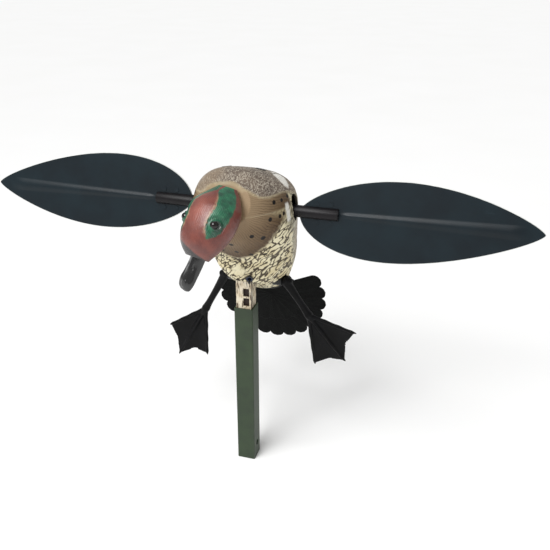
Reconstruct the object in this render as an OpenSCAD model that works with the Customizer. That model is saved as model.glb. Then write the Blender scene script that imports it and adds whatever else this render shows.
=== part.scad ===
// Motion wing decoy: a hollow duck on a square pole, with two spinning wing blades.
// Millimetres, +Z up along the pole, the duck faces -Y. The origin is the centre of the
// pole's lower end. Most sub-parts are drawn about the wing axis, then moved up to it.

/* [Pole] */
// Width of the square pole across its flats
pole_w = 21.2; // [20:0.1:24]
// Wall of the pole
pole_wall = 1.8; // [1.5:0.1:2]
// Length of the pole section
pole_len = 202; // [160:1:260]
// Radius of the cross pin hole near the pole's lower end
pin_hole_r = 3.25; // [2.5:0.05:4]
// Height of the cross pin hole
pin_hole_z = 18; // [14:1:30]

/* [Body] */
// Wall of the hollow body
wall = 2.2; // [1.8:0.1:2.4]
// Height of the wing axis above the pole's top
axis_above_pole = 113.5; // [113:0.5:115]
// Gap around the back hatch
hatch_gap = 0.45; // [0.4:0.05:0.8]
// Radius of the tail fan
tail_r = 69; // [60:0.2:72]
// Number of feathers in the tail fan
tail_feathers = 15; // [11:2:19]

/* [Wings] */
// Distance from the centre of the body to a wing's tip
wing_tip = 293; // [260:1:300]
// Distance from the centre of the body to a blade's root
wing_root = 58; // [57:0.5:62]
// Largest half width of a blade, on its fuller edge
wing_full = 43.5; // [38:0.5:46]
// Largest half width of a blade, on its slimmer edge
wing_slim = 38.5; // [34:0.5:42]
// Thickness of a blade
blade_t = 2; // [1.5:0.1:2.4]
// Lean of the blades from upright, in degrees
blade_lean = 12; // [0:1:25]
// Outside radius of a wing's hub tube
hub_r = 6.2; // [5.5:0.1:6.5]

/* [Drive] */
// Radius of the wing shaft
shaft_r = 3; // [2.5:0.25:3]
// Teeth on the drive gear
gear_teeth = 40; // [36:2:44]
// Teeth on the motor pinion
pinion_teeth = 12; // [10:1:14]
// Radius of the motor's can
motor_r = 12; // [10:0.5:12.5]

/* [Hidden] */
$fn = 64;

wing_z = pole_len + axis_above_pole;
pole_y = -2.5;
wing_y = -pole_y;

// Cross-sections of the body from the neck to the rump, about the wing axis.
// Each row: back y, back z, front y, front z, half width, roundness behind and in front.
body_rows = [
    [-50.2, 42.7, -63.7, 0.8, 24.8, 2.0, 2.0],
    [-30, 48.2, -54.9, -17.4, 37.6, 2.3, 2.2],
    [-5.3, 43, -42.5, -31, 48.1, 2.6, 2.3],
    [23.1, 33.2, -30, -44, 54.6, 2.8, 2.4],
    [49, 15, -19, -60, 50.2, 2.5, 2.0],
    [67, -12.8, -10.6, -82, 46.8, 2.2, 1.85],
    [76, -44.8, 12, -96.5, 42.4, 2.2, 1.9],
    [81.6, -75.8, 38.6, -111.1, 33.7, 2.2, 2.2],
    [84.2, -94, 66.7, -126.1, 26.1, 2.2, 2.2],
    [85.5, -106, 91.3, -135, 20.4, 2.2, 2.2]];
body_steps = 27;
body_sides = 36;
cavity_steps = 14;
cavity_sides = 24;

// Cross-sections of the head from the bill to the nape, in the head's own frame.
// Each row: place along the bill's line, top, underside, half width, roundness.
head_rows = [
    [3, 7, -8, 13, 2.0],
    [-2, 12.6, -9.6, 17.4, 2.0],
    [-9, 18.1, -14.6, 21.5, 2.0],
    [-20, 21.1, -20.9, 24.9, 2.0],
    [-34, 21.5, -24.9, 26.5, 2.0],
    [-48, 18.3, -24.5, 25.1, 2.0],
    [-60, 7.6, -21.6, 17.9, 2.0],
    [-69, -2.8, -13.7, 11, 2.0]];
head_steps = 18;
head_sides = 28;
// The head hangs down from the nape and is turned towards the duck's right.
head_at = [-14.7, -94.7, -17.7];
head_turn = 22.7;
head_drop = 57.8;
head_roll = -2;

// Cross-sections of the bill from the tip to the base, laid out as in head_rows.
bill_rows = [
    [35.8, -5.5, -6.5, 3.2, 2.0],
    [33.6, -4, -8, 7.4, 2.2],
    [26.8, -1.2, -9.2, 8.9, 2.4],
    [17.7, 0.4, -9.8, 8.1, 2.4],
    [8.7, 2.4, -9.6, 7.8, 2.2],
    [1, 4.2, -8.6, 7.9, 2]];
bill_steps = 14;
bill_sides = 24;
bill_plug_r = 4.5;
bill_plug_z = -2.3;
bill_plug_x = [-8.5, 6];
bill_seat = 3.05;
cut_block = 40;
bill_turn = -13;
eye_r = 4.5;
eye_at = [-30, 14, 17.4];

// The tail fan's plane, and the centre that its feathers spread from.
tail_at = [0, 93.3, -145];
tail_tilt = 11.5;
tail_t = 2.4;
tail_turn = -3;
tail_first = -22;
tail_pitch = (180 - 2 * tail_first) / (tail_feathers - 1);
feather_w = 17.8;
tail_disc_r = 38;
tail_screw_x = 12;
tail_screw_s = -22;

// The hatch lies on the back. Its plane leans back by hatch_lean from level.
hatch_lean = 48.5;
hatch_mid = 21;
hatch_half_len = 60.7;
hatch_half_w = 31;
hatch_corner = 14;
hatch_floor = 1;
hinge_at = [0, 78.7, -43.6];
hinge_lean = 77.4;
knuckle_r = 2.4;
hinge_pin_r = 1.2;
knuckle_half = 4;
leaf_half = 13;
leaf_len = 9;
leaf_t = 1.1;
latch_x = 18;
latch_at = [0, -2.5, 41];
latch_lean = 14;
latch_roll = 10;
latch_head_r = 5;
latch_stem_r = 2.3;
latch_foot_len = 9;
latch_foot_t = 1.8;
latch_seat = -1.2;
latch_boss_z = -3.6;

// Side openings for the wing shaft.
slot_w = 15;
slot_h = 27;
slot_up = 4;

// Frame inside the body, with the motor hung below the wing shaft.
cheek_x = 30;
cheek_t = 2.5;
frame_top = -58;
frame_y0 = 2;
frame_y1 = 24;
prow_half = 14;
prow_y = -9;
boss_spots = [[-23, 17], [23, 17], [-23, 5], [23, 5]];
boss_r = 4;
screw_r = 1.5;
module_mm = 1;
centre_dist = module_mm * (gear_teeth + pinion_teeth) / 2;
gear_x = cheek_x + cheek_t + 2.2;
gear_t = 5.5;
motor_len = 36;
motor_x = cheek_x - 0.2 - motor_len;
motor_shaft_r = 1;
bush_r = 5;
running = 0.05;

// Spigot that stands in the pole.
spigot_w = pole_w - 2 * pole_wall - 0.3;
spigot_down = 46;
spigot_z0 = -axis_above_pole - spigot_down;
spigot_top = frame_top - cheek_t - 0.05;
tongue_z = -81;
tongue_y = 0.5;
spigot_screw = [4.5, 3.3];
pocket = [7, 2.5, 9.5];

// Batteries: four cells side by side under the hatch.
cell_r = 7.1;
cell_len = 50;
cell_pitch = 15;
tray = [64, 57, 15];
tray_t0 = -10;
tray_n0 = 11;
tray_wall = 1.3;

// Switch on the front of the belly, beside the spigot.
switch_at = [8, -13.5, -75];
switch_drop = 21;
switch_turn = 13;
switch_body_size = [12, 8, 7];
lever_pivot = -1.5;

// Legs hang from pegs in the hips and swing about the X axis. Each foot is flat. Its toes
// are laid out from the ankle, across and down, in the foot's own plane. The soft legs hang
// differently, so each has its own points: ankle, tilt, then outer, middle and inner toe.
hip_at = [31.5, 31, -94.5];
left_points = [[60.8, 37, -137.2], 10, [53, -16.8], [41.9, -59.5], [6.4, -70.6], [0.68, 27],
    [0.62, 20]];
right_points = [[63.5, 35, -145.7], 3, [47.3, -29.6], [39.3, -70.3], [2.2, -64.5], [0.68, 26],
    [0.66, 28]];
leg_r = 3.4;
peg_r = 4;
ankle_r = 4.2;
peg_len = 12.3;
knob_len = 9;
knob_r = 6;
socket_r = 6.2;
socket_len = 13;
toe_r = 2;
web_t = 2;

// Hubs slide off the ends of the wing shaft.
hub_x0 = 49;
hub_x1 = 98;
shaft_end = 92;
pin_x = 51.5;
pin_r = 1.2;
rivet_r = 1.5;
rivet_spots = [[76, -9.5], [76, 9.5], [90, -9.5], [90, 9.5]];
slim_peak = 0.45;
full_peak = 0.36;
flange_a = 7;
flange_c = 13;
flange_x = [64, 76, 96];

// Routes of the internal leads, about the wing axis.
lead_r = 1.1;
lead_routes = [
    [[-22, 42.5, -25.3], [-24, 46, -30], [-28, 46, -42], [-27, 36, -56], [-22, 30, -63],
     [-17, 20, -66], [-14, 6, -69], [-12.5, -5, -71], [-7.5, -9, -72.1], [0.3, -7.6, -72.1]],
    [[12.4, -4.8, -72.1], [17, -3.4, -71.5], [14, 7, -70], [16, 20, -67], [20, 29, -63],
     [22, 32, -54], [14, 30, -44], [-4, 24, -36], [-19, 12, -28], [-12.8, 7, -26]],
    [[22, 42.5, -25.3], [24, 46, -30], [22, 42, -42], [8, 34, -46], [-10, 20, -42],
     [-20, 2, -34], [-20, -6, -28], [-12.8, -7, -26]]];

function cubic(a, b, c, d, t) = b + 0.5 * t * ((c - a) + t * ((2 * a - 5 * b + 4 * c - d)
    + t * (3 * (b - c) + d - a)));
function along(rows, s) =
    let (last = len(rows) - 1,
        i = min(floor(s), last - 1))
    cubic(rows[max(i - 1, 0)], rows[i], rows[i + 1], rows[min(i + 2, last)], s - i);
function super(v, p) = sign(v) * pow(abs(v), 2 / p);

// One ring of the body, drawn in from the outside by inset.
function body_ring(r, inset, sides) =
    let (mid = [(r[0] + r[2]) / 2, (r[1] + r[3]) / 2],
        half = [(r[0] - r[2]) / 2, (r[1] - r[3]) / 2],
        k = (norm(half) - inset) / norm(half))
    [for (j = [0:sides - 1])
        let (a = 360 * j / sides, p = a > 180 ? r[6] : r[5], u = k * super(sin(a), p))
        [(r[4] - inset) * super(cos(a), p), mid[0] + half[0] * u, mid[1] + half[1] * u]];
function body_rings(from, to, inset, steps, sides) =
    [for (i = [0:steps]) body_ring(along(body_rows, from + (to - from) * i / steps), inset, sides)];

// One ring of the head or the bill: +X is forward along the bill, +Z is the crown.
function head_ring(r, inset, sides) =
    [for (j = [0:sides - 1])
        let (a = 360 * j / sides,
            half = (r[1] - r[2]) / 2 - inset,
            u = super(sin(a), r[4]))
        [r[0], (r[3] - inset) * super(cos(a), r[4]), (r[1] + r[2]) / 2 + half * u]];
function head_rings(rows, from, to, inset, steps, sides) =
    [for (i = [0:steps]) head_ring(along(rows, from + (to - from) * i / steps), inset, sides)];
function middle(ring) = [for (k = [0:2]) (min([for (p = ring) p[k]]) + max([for (p = ring) p[k]])) / 2];

// A closed skin over a row of rings.
module loft(rings) {
    n = len(rings);
    m = len(rings[0]);
    points = concat([for (r = rings) each r], [middle(rings[0]), middle(rings[n - 1])]);
    sides = [for (i = [0:n - 2], j = [0:m - 1])
        let (k = (j + 1) % m, a = i * m + j, b = i * m + k, c = a + m, d = b + m)
        each [[a, b, d], [a, d, c]]];
    ends = [for (j = [0:m - 1])
        let (k = (j + 1) % m)
        each [[n * m, k, j], [n * m + 1, (n - 1) * m + j, (n - 1) * m + k]]];
    polyhedron(points, concat(sides, ends), convexity = 6);
}

module at_wing() {
    translate([0, wing_y, wing_z])
        children();
}

module in_head() {
    translate(head_at)
        rotate([0, 0, -90 - head_turn])
            rotate([head_roll, head_drop, 0])
                children();
}

module in_bill() {
    in_head()
        rotate([0, 0, bill_turn])
            children();
}

// Local +Z along the hatch's outward direction, local +Y down the back.
module in_hatch() {
    rotate([-hatch_lean, 0, 0])
        children();
}

// Local +Z stands off the back of the tail fan, local +Y runs down it.
module in_tail() {
    translate(tail_at)
        rotate([-90 + tail_tilt, 0, 0])
            children();
}

module rod(a, b, r) {
    d = b - a;
    translate(a)
        rotate([0, acos(d[2] / norm(d)), atan2(d[1], d[0])])
            cylinder(r = r, h = norm(d));
}

module along_x(x0, x1, r, y = 0, z = 0) {
    translate([x0, y, z])
        rotate([0, 90, 0])
            cylinder(r = r, h = x1 - x0);
}

// The duck's right side is the mirror image of its left.
module mirrored(right) {
    mirror([right ? 1 : 0, 0, 0])
        children();
}

module rounded_square(w, r) {
    difference() {
        square(w, center = true);
        for (i = [0:3])
            rotate(90 * i)
                translate([w / 2 - r, w / 2 - r])
                    difference() {
                        square(r + 1);
                        circle(r);
                    }
    }
}

// ---------------------------------------------------------------- pole
module pole_tube() {
    inner = pole_w - 2 * pole_wall;
    color("darkolivegreen")
        difference() {
            linear_extrude(pole_len)
                difference() {
                    rounded_square(pole_w, 1.6);
                    square(inner, center = true);
                }
            along_x(-pole_w, pole_w, pin_hole_r, 0, pin_hole_z);
        }
}

// ---------------------------------------------------------------- body
module body_solid(inset, steps, sides) {
    trim = inset / 40;
    loft(body_rings(trim, len(body_rows) - 1 - trim * 2, inset, steps, sides));
}

module hatch_prism(shrink, end_shrink) {
    half_w = hatch_half_w - shrink;
    y0 = hatch_mid - hatch_half_len + shrink;
    y1 = hatch_mid + hatch_half_len - end_shrink;
    r = hatch_corner - shrink;
    in_hatch()
        translate([0, 0, hatch_floor])
            linear_extrude(60)
                union() {
                    translate([-half_w, y0 + r])
                        square([2 * half_w, y1 - y0 - r]);
                    translate([-half_w + r, y0])
                        square([2 * (half_w - r), r + 1]);
                    for (side = [-1, 1])
                        translate([side * (half_w - r), y0 + r])
                            circle(r);
                }
}

module shaft_slots() {
    for (side = [-1, 1])
        translate([side > 0 ? 40 : -70, 0, slot_up])
            rotate([90, 0, 90])
                linear_extrude(30) {
                    square([slot_w, slot_h - slot_w], center = true);
                    for (up = [-1, 1])
                        translate([0, up * (slot_h - slot_w) / 2])
                            circle(slot_w / 2);
                }
}

module in_switch() {
    translate(switch_at)
        rotate([90 + switch_drop, 0, switch_turn])
            children();
}

module body_shell() {
    color("tan")
        at_wing()
            difference() {
                body_solid(0, body_steps, body_sides);
                difference() {
                    body_solid(wall, cavity_steps, cavity_sides);
                    for (p = boss_spots)
                        translate([p[0], p[1], spigot_top - 60])
                            cylinder(r = boss_r, h = 60);
                }
                hatch_prism(0, 0);
                shaft_slots();
                translate([0, pole_y, -110])
                    cube([spigot_w + 0.4, spigot_w + 0.4, 100], center = true);
                for (side = [-1, 1])
                    along_x(side > 0 ? 10 : -50, side > 0 ? 50 : -10, socket_r + 0.05,
                        hip_at[1], hip_at[2]);
                in_switch()
                    cylinder(r = 3.2, h = 30, center = true);
                for (p = boss_spots)
                    translate([p[0], p[1], frame_top - 12])
                        cylinder(r = screw_r, h = 14);
                in_tail()
                    for (side = [-1, 1])
                        translate([side * tail_screw_x, tail_screw_s, -10])
                            cylinder(r = screw_r, h = 20);
            }
}

module head() {
    last = len(head_rows) - 1;
    color("sienna")
        at_wing()
            difference() {
                in_head()
                    loft(head_rings(head_rows, 0, last, 0, head_steps, head_sides));
                loft(body_rings(0, 2.2, -0.15, 8, 32));
                in_head() {
                    loft(head_rings(head_rows, 1.8, 4.4, wall + 0.6, 6, 16));
                    for (side = [-1, 1])
                        translate([eye_at[0], side * eye_at[2], eye_at[1]])
                            sphere(eye_r + 0.05);
                }
                in_bill()
                    along_x(bill_plug_x[0] - 0.5, bill_plug_x[1] + 4, bill_plug_r + running, 0,
                        bill_plug_z);
            }
}

module bill() {
    last = len(bill_rows) - 1;
    color("dimgray")
        at_wing() {
            difference() {
                in_bill()
                    loft(head_rings(bill_rows, 0, last, 0, bill_steps, bill_sides));
                in_head()
                    translate([bill_seat - cut_block, -cut_block / 2, -cut_block / 2])
                        cube(cut_block);
            }
            in_bill()
                along_x(bill_plug_x[0], bill_plug_x[1], bill_plug_r, 0, bill_plug_z);
        }
}

module eyes() {
    color("black")
        at_wing()
            in_head()
                for (side = [-1, 1])
                    translate([eye_at[0], side * eye_at[2], eye_at[1]])
                        sphere(eye_r);
}

module tail_fan() {
    tip = tail_r - feather_w / 2;
    color("dimgray")
        at_wing()
            in_tail()
                difference() {
                    translate([0, 0, 0.1])
                        linear_extrude(tail_t)
                            union() {
                                circle(tail_disc_r);
                                for (i = [0:tail_feathers - 1])
                                    rotate(tail_turn + tail_first + tail_pitch * i) {
                                        translate([tail_disc_r / 3, -feather_w / 2])
                                            square([tip - tail_disc_r / 3, feather_w]);
                                        translate([tip, 0])
                                            circle(feather_w / 2);
                                    }
                            }
                    for (side = [-1, 1])
                        translate([side * tail_screw_x, tail_screw_s, -1])
                            cylinder(r = screw_r + 0.1, h = 6);
                }
}

module screw(r, len, head_r, head_h) {
    difference() {
        union() {
            translate([0, 0, -len])
                cylinder(r = r, h = len);
            cylinder(r = head_r, h = head_h);
        }
        translate([0, 0, head_h])
            for (a = [0, 90])
                rotate(a)
                    cube([head_r * 1.3, head_r * 0.28, head_h], center = true);
    }
}

module tail_screws() {
    color("silver")
        at_wing()
            in_tail()
                for (side = [-1, 1])
                    translate([side * tail_screw_x, tail_screw_s, tail_t + 0.15])
                        screw(screw_r - 0.05, 9, 3, 1.6);
}

// ---------------------------------------------------------------- spigot and frame
module spigot() {
    face = -spigot_w / 2;
    color("cornsilk")
        at_wing()
            difference() {
                translate([0, pole_y, 0])
                    difference() {
                        translate([0, 0, spigot_z0])
                            linear_extrude(spigot_top - spigot_z0)
                                rounded_square(spigot_w, 1);
                        for (z = [-axis_above_pole + 3, -axis_above_pole + 14.4])
                            translate([-0.5, face - 1, z])
                                cube([pocket[0], pocket[1] + 1, pocket[2]]);
                        translate([-face - 1.2, -1.4, -axis_above_pole + 12])
                            cube([5, 2.8, 10]);
                        translate([0, 1.5, spigot_z0 - 1])
                            linear_extrude(40)
                                rounded_square(9, 1);
                    }
                translate([-spigot_w, tongue_y - 30, tongue_z])
                    cube([2 * spigot_w, 30, 40]);
                for (side = [-1, 1])
                    translate([side * spigot_screw[0], spigot_screw[1], spigot_top - 14])
                        cylinder(r = screw_r, h = 20);
            }
}

module spigot_screws() {
    color("silver")
        at_wing()
            for (side = [-1, 1])
                translate([side * spigot_screw[0], spigot_screw[1], frame_top + 0.05])
                    screw(screw_r - 0.05, 13, 3, 1.8);
}

module cheek() {
    rotate([90, 0, 90])
        linear_extrude(cheek_t)
            difference() {
                union() {
                    polygon([[frame_y0, frame_top], [frame_y1, frame_top], [11, -8], [8, 4],
                        [-8, 4], [-11, -8]]);
                    circle(9);
                    translate([0, -centre_dist])
                        circle(motor_r + 2);
                }
                circle(bush_r + 0.02);
                translate([0, -centre_dist])
                    circle(3.6);
                for (side = [-1, 1])
                    translate([side * 7.5, -centre_dist])
                        circle(1.15);
            }
}

module motor_frame() {
    side_x = cheek_x + cheek_t;
    color("gray")
        at_wing()
            difference() {
                union() {
                    for (side = [-1, 1])
                        translate([side > 0 ? cheek_x : -cheek_x - cheek_t, 0, 0])
                            cheek();
                    translate([0, 0, frame_top - cheek_t])
                        linear_extrude(cheek_t)
                            polygon([[-side_x, frame_y0], [-prow_half, prow_y], [prow_half, prow_y],
                                [side_x, frame_y0], [side_x, frame_y1], [-side_x, frame_y1]]);
                }
                for (p = boss_spots)
                    translate([p[0], p[1], frame_top - 6])
                        cylinder(r = screw_r + 0.1, h = 10);
                for (side = [-1, 1])
                    translate([side * spigot_screw[0], spigot_screw[1], frame_top - 6])
                        cylinder(r = screw_r + 0.1, h = 10);
            }
}

module frame_screws() {
    color("silver")
        at_wing()
            for (p = boss_spots)
                translate([p[0], p[1], frame_top + 0.05])
                    screw(screw_r - 0.05, 11, 2.8, 1.6);
}

module shaft_bush() {
    difference() {
        union() {
            along_x(cheek_x - 0.05, cheek_x + cheek_t + 0.8, bush_r);
            along_x(cheek_x - 1.65, cheek_x - 0.05, bush_r + 1.8);
        }
        along_x(cheek_x - 5, cheek_x + 8, shaft_r + running);
    }
}

module shaft_bush_left() {
    color("goldenrod")
        at_wing()
            shaft_bush();
}

module shaft_bush_right() {
    color("goldenrod")
        at_wing()
            mirrored(true)
                shaft_bush();
}

// ---------------------------------------------------------------- motor
module motor_can() {
    color("silver")
        at_wing()
            difference() {
                union() {
                    along_x(motor_x, motor_x + motor_len, motor_r, 0, -centre_dist);
                    along_x(motor_x + motor_len - 1, cheek_x + 1.6, 3.5, 0, -centre_dist);
                }
                along_x(motor_x - 5, cheek_x + 5, motor_shaft_r + running, 0, -centre_dist);
                for (side = [-1, 1])
                    along_x(motor_x + motor_len - 5, cheek_x, 1.05, side * 7.5, -centre_dist);
            }
}

module motor_end_cap() {
    color("ivory")
        at_wing()
            difference() {
                union() {
                    along_x(motor_x - 2.5, motor_x - 0.05, motor_r - 0.6, 0, -centre_dist);
                    for (side = [-1, 1])
                        translate([motor_x - 6.5, side * 7 - 1.2, -centre_dist - 0.4])
                            cube([4.5, 2.4, 0.8]);
                }
                along_x(motor_x - 5, motor_x + 1, motor_shaft_r + running, 0, -centre_dist);
            }
}

module motor_screws() {
    color("dimgray")
        at_wing()
            for (side = [-1, 1])
                translate([cheek_x + cheek_t + 0.05, side * 7.5, -centre_dist])
                    rotate([0, 90, 0])
                        screw(1, 6, 1.8, 1.3);
}

module motor_shaft() {
    color("silver")
        at_wing()
            along_x(motor_x - 3.5, gear_x + gear_t + 1.5, motor_shaft_r, 0, -centre_dist);
}

// A spur gear with straight-sided teeth, its first tooth towards +X.
module gear(teeth, bore) {
    pitch_r = module_mm * teeth / 2;
    step = 360 / teeth;
    tip = pitch_r + 0.9 * module_mm;
    root = pitch_r - 1.15 * module_mm;
    difference() {
        linear_extrude(gear_t)
            polygon([for (i = [0:teeth - 1], p = [[root, -0.31], [tip, -0.12], [tip, 0.12], [root, 0.31]])
                let (a = step * (i + p[1]))
                p[0] * [cos(a), sin(a)]]);
        translate([0, 0, -1])
            cylinder(r = bore, h = gear_t + 2);
    }
}

module pinion() {
    color("white")
        at_wing()
            translate([gear_x, 0, -centre_dist])
                rotate([0, 90, 0])
                    rotate(180 + 180 / pinion_teeth)
                        gear(pinion_teeth, motor_shaft_r);
}

// ---------------------------------------------------------------- rotor
module wing_shaft() {
    color("silver")
        at_wing()
            difference() {
                along_x(-shaft_end, shaft_end, shaft_r);
                for (side = [-1, 1])
                    translate([side * pin_x, 0, 0])
                        cylinder(r = pin_r, h = 20, center = true);
            }
}

module drive_gear() {
    web_r = module_mm * gear_teeth / 2 - 4;
    color("white")
        at_wing()
            translate([gear_x, 0, 0])
                rotate([0, 90, 0])
                    difference() {
                        union() {
                            gear(gear_teeth, shaft_r);
                            translate([0, 0, gear_t])
                                difference() {
                                    cylinder(r = 5.5, h = 3);
                                    translate([0, 0, -1])
                                        cylinder(r = shaft_r, h = 5);
                                }
                        }
                        translate([0, 0, gear_t - 1.5])
                            difference() {
                                cylinder(r = web_r, h = 4);
                                cylinder(r = 7, h = 4);
                            }
                        for (i = [0:4])
                            rotate(72 * i + 36)
                                translate([11.5, 0, -1])
                                    cylinder(r = 2.6, h = gear_t + 3);
                    }
}

module shaft_collars() {
    color("dimgray")
        at_wing()
            for (side = [-1, 1])
                mirror([side > 0 ? 0 : 1, 0, 0])
                    difference() {
                        along_x(cheek_x - 7.2, cheek_x - 2.2, 5.2);
                        along_x(0, 60, shaft_r);
                        translate([cheek_x - 4.7, 0, 0])
                            cylinder(r = 1, h = 10);
                    }
}

module drive_pins() {
    color("silver")
        at_wing()
            for (side = [-1, 1])
                translate([side * pin_x, 0, 0])
                    cylinder(r = pin_r, h = 11.4, center = true);
}

// ---------------------------------------------------------------- batteries
module battery_tray() {
    color("dimgray")
        at_wing()
            in_hatch()
                translate([-tray[0] / 2, tray_t0, tray_n0])
                    difference() {
                        cube(tray);
                        translate([tray_wall, tray_wall, tray_wall])
                            cube([tray[0] - 2 * tray_wall, tray[1] - 2 * tray_wall, tray[2]]);
                    }
}

module battery_cells() {
    color("royalblue")
        at_wing()
            in_hatch()
                for (i = [0:3])
                    translate([cell_pitch * (i - 1.5), tray_t0 + 3, tray_n0 + tray_wall + cell_r + 0.1])
                        rotate([i % 2 == 0 ? -90 : 90, 0, 0])
                            translate([0, 0, i % 2 == 0 ? 0 : -cell_len]) {
                                cylinder(r = cell_r, h = cell_len - 1.2);
                                cylinder(r = 2.7, h = cell_len);
                            }
}

module contact_plates() {
    color("silver")
        at_wing()
            in_hatch()
                for (i = [0:3])
                    for (end = [0, 1])
                        translate([cell_pitch * (i - 1.5) - 5, end == 0 ? tray_t0 + tray_wall + 0.05
                            : tray_t0 + tray[1] - tray_wall - 0.55, tray_n0 + tray_wall + 1])
                            cube([10, 0.5, 11]);
}

module contact_springs() {
    color("silver")
        at_wing()
            in_hatch()
                for (i = [0:3])
                    translate([cell_pitch * (i - 1.5),
                        i % 2 == 0 ? tray_t0 + tray_wall + 0.6 : tray_t0 + 3 + cell_len + 0.05,
                        tray_n0 + tray_wall + cell_r + 0.1])
                        rotate([-90, 0, 0])
                            for (turn = [0:1])
                                translate([0, 0, 0.25 + 0.5 * turn])
                                    rotate_extrude()
                                        translate([3.4 - turn, 0])
                                            circle(0.22, $fn = 16);
}

// ---------------------------------------------------------------- switch and leads
module switch_body() {
    size = switch_body_size;
    color("midnightblue")
        at_wing()
            in_switch()
                difference() {
                    union() {
                        translate([-size[0] / 2, -size[1] / 2, -size[2] - 4.5])
                            cube(size);
                        translate([0, 0, -4.6])
                            cylinder(r = 3, h = 6.6);
                    }
                    translate([0, 0, -4])
                        cylinder(r = 2.3, h = 10);
                }
}

module switch_nut() {
    color("silver")
        at_wing()
            in_switch()
                translate([0, 0, 1])
                    difference() {
                        cylinder(r = 4.6, h = 1.1, $fn = 6);
                        translate([0, 0, -1])
                            cylinder(r = 3.02, h = 4);
                    }
}

module switch_lever() {
    color("black")
        at_wing()
            in_switch()
                translate([0, 0, lever_pivot])
                    rotate([12, 0, 0]) {
                        sphere(1.7);
                        along_x(-2.1, 2.1, 0.7);
                        cylinder(r = 0.95, h = 7);
                        translate([0, 0, 7])
                            sphere(1.5);
                    }
}

// Rings of a round lead along a route, smoothed between its points.
function lead_rings(route, sides) =
    let (n = 3 * (len(route) - 1),
        pts = [for (i = [0:n]) along(route, i / 3)])
    [for (i = [0:n])
        let (d = pts[min(i + 1, n)] - pts[max(i - 1, 0)],
            t = d / norm(d),
            s = cross(t, abs(t[2]) > 0.8 ? [0, 1, 0] : [0, 0, 1]),
            u = s / norm(s),
            v = cross(u, t))
        [for (j = [0:sides - 1])
            let (a = 360 * j / sides)
            pts[i] + lead_r * (cos(a) * u + sin(a) * v)]];

module leads() {
    color("red")
        at_wing()
            for (route = lead_routes)
                loft(lead_rings(route, 8));
}

// ---------------------------------------------------------------- hatch
module in_hinge() {
    translate(hinge_at)
        rotate([-hinge_lean, 0, 0])
            children();
}

module knuckle(x0, x1) {
    along_x(x0, x1, knuckle_r);
}

module body_hinge_leaf() {
    color("dimgray")
        at_wing()
            in_hinge()
                difference() {
                    union() {
                        for (side = [-1, 1])
                            knuckle(side > 0 ? knuckle_half + 0.3 : -leaf_half,
                                side > 0 ? leaf_half : -knuckle_half - 0.3);
                        translate([-leaf_half, 2.8, -knuckle_r])
                            cube([2 * leaf_half, leaf_len, leaf_t]);
                        for (side = [-1, 1])
                            translate([side > 0 ? knuckle_half + 0.3 : -leaf_half, 0, -knuckle_r])
                                cube([leaf_half - knuckle_half - 0.3, 3, leaf_t]);
                    }
                    along_x(-20, 20, hinge_pin_r);
                }
}

module lid_hinge_leaf() {
    color("dimgray")
        at_wing()
            in_hinge()
                difference() {
                    union() {
                        knuckle(-knuckle_half, knuckle_half);
                        translate([-knuckle_half, -3.2, -knuckle_r + 0.2])
                            cube([2 * knuckle_half, 3.2, leaf_t]);
                        translate([-leaf_half, -leaf_len - 3, -knuckle_r + 0.2])
                            cube([2 * leaf_half, leaf_len, leaf_t]);
                    }
                    along_x(-20, 20, hinge_pin_r + running);
                }
}

module hinge_pin() {
    color("silver")
        at_wing()
            in_hinge()
                along_x(-leaf_half - 0.6, leaf_half + 0.6, hinge_pin_r);
}

module in_latch(side) {
    translate([side * latch_x, latch_at[1], latch_at[2]])
        rotate([-latch_lean, 0, 0])
            rotate([0, side * latch_roll, 0])
                children();
}

module hatch_lid() {
    color("gray")
        at_wing()
            difference() {
                union() {
                    intersection() {
                        difference() {
                            body_solid(0, body_steps, body_sides);
                            body_solid(wall, cavity_steps, cavity_sides);
                        }
                        hatch_prism(hatch_gap, 1.2);
                    }
                    for (side = [-1, 1])
                        in_latch(side)
                            translate([0, 0, latch_boss_z])
                                cylinder(r = latch_head_r + 2, h = -latch_boss_z - 0.8);
                }
                for (side = [-1, 1])
                    in_latch(side) {
                        cylinder(r = latch_stem_r + running, h = 30, center = true);
                        translate([0, 0, latch_seat])
                            cylinder(r = latch_head_r + 0.35, h = 10);
                    }
            }
}

module hatch_latch(side) {
    foot = latch_boss_z - 0.1 - latch_foot_t;
    in_latch(side)
        difference() {
            union() {
                translate([0, 0, latch_seat + 0.1])
                    cylinder(r = latch_head_r, h = 1.5);
                translate([0, 0, foot])
                    cylinder(r = latch_stem_r, h = 1 - foot - 1.5);
                translate([side > 0 ? -latch_foot_len : -2, -2, foot])
                    cube([latch_foot_len + 2, 4, latch_foot_t]);
            }
            translate([0, 0, latch_seat + 1.6])
                cube([1.2, 8, 1.6], center = true);
        }
}

module hatch_latch_left() {
    color("black")
        at_wing()
            hatch_latch(1);
}

module hatch_latch_right() {
    color("black")
        at_wing()
            hatch_latch(-1);
}

// ---------------------------------------------------------------- wings
// Half width of a blade at a place from 0 at the root to 1 at the tip.
function blade_half(u, most, peak) = most * pow(sin(180 * pow(u, ln(0.5) / ln(peak))), 0.72);

function blade_edge(side, slim) =
    [for (i = [1:29])
        let (u = 0.5 - 0.5 * cos(6 * i))
        [wing_root + (wing_tip - wing_root) * u,
            side * blade_half(u, slim ? wing_slim : wing_full, slim ? slim_peak : full_peak)]];

module blade_outline(slim_top) {
    up = blade_edge(1, slim_top);
    down = blade_edge(-1, !slim_top);
    polygon(concat([[wing_root, 6], [wing_root, -6]], down, [[wing_tip, 0]],
        [for (i = [len(up) - 1:-1:0]) up[i]]));
}

// Local XY is the blade's plane, with +Z off its back.
module in_blade() {
    rotate([90 - blade_lean, 0, 0])
        mirror([0, 0, 1])
            children();
}

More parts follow.
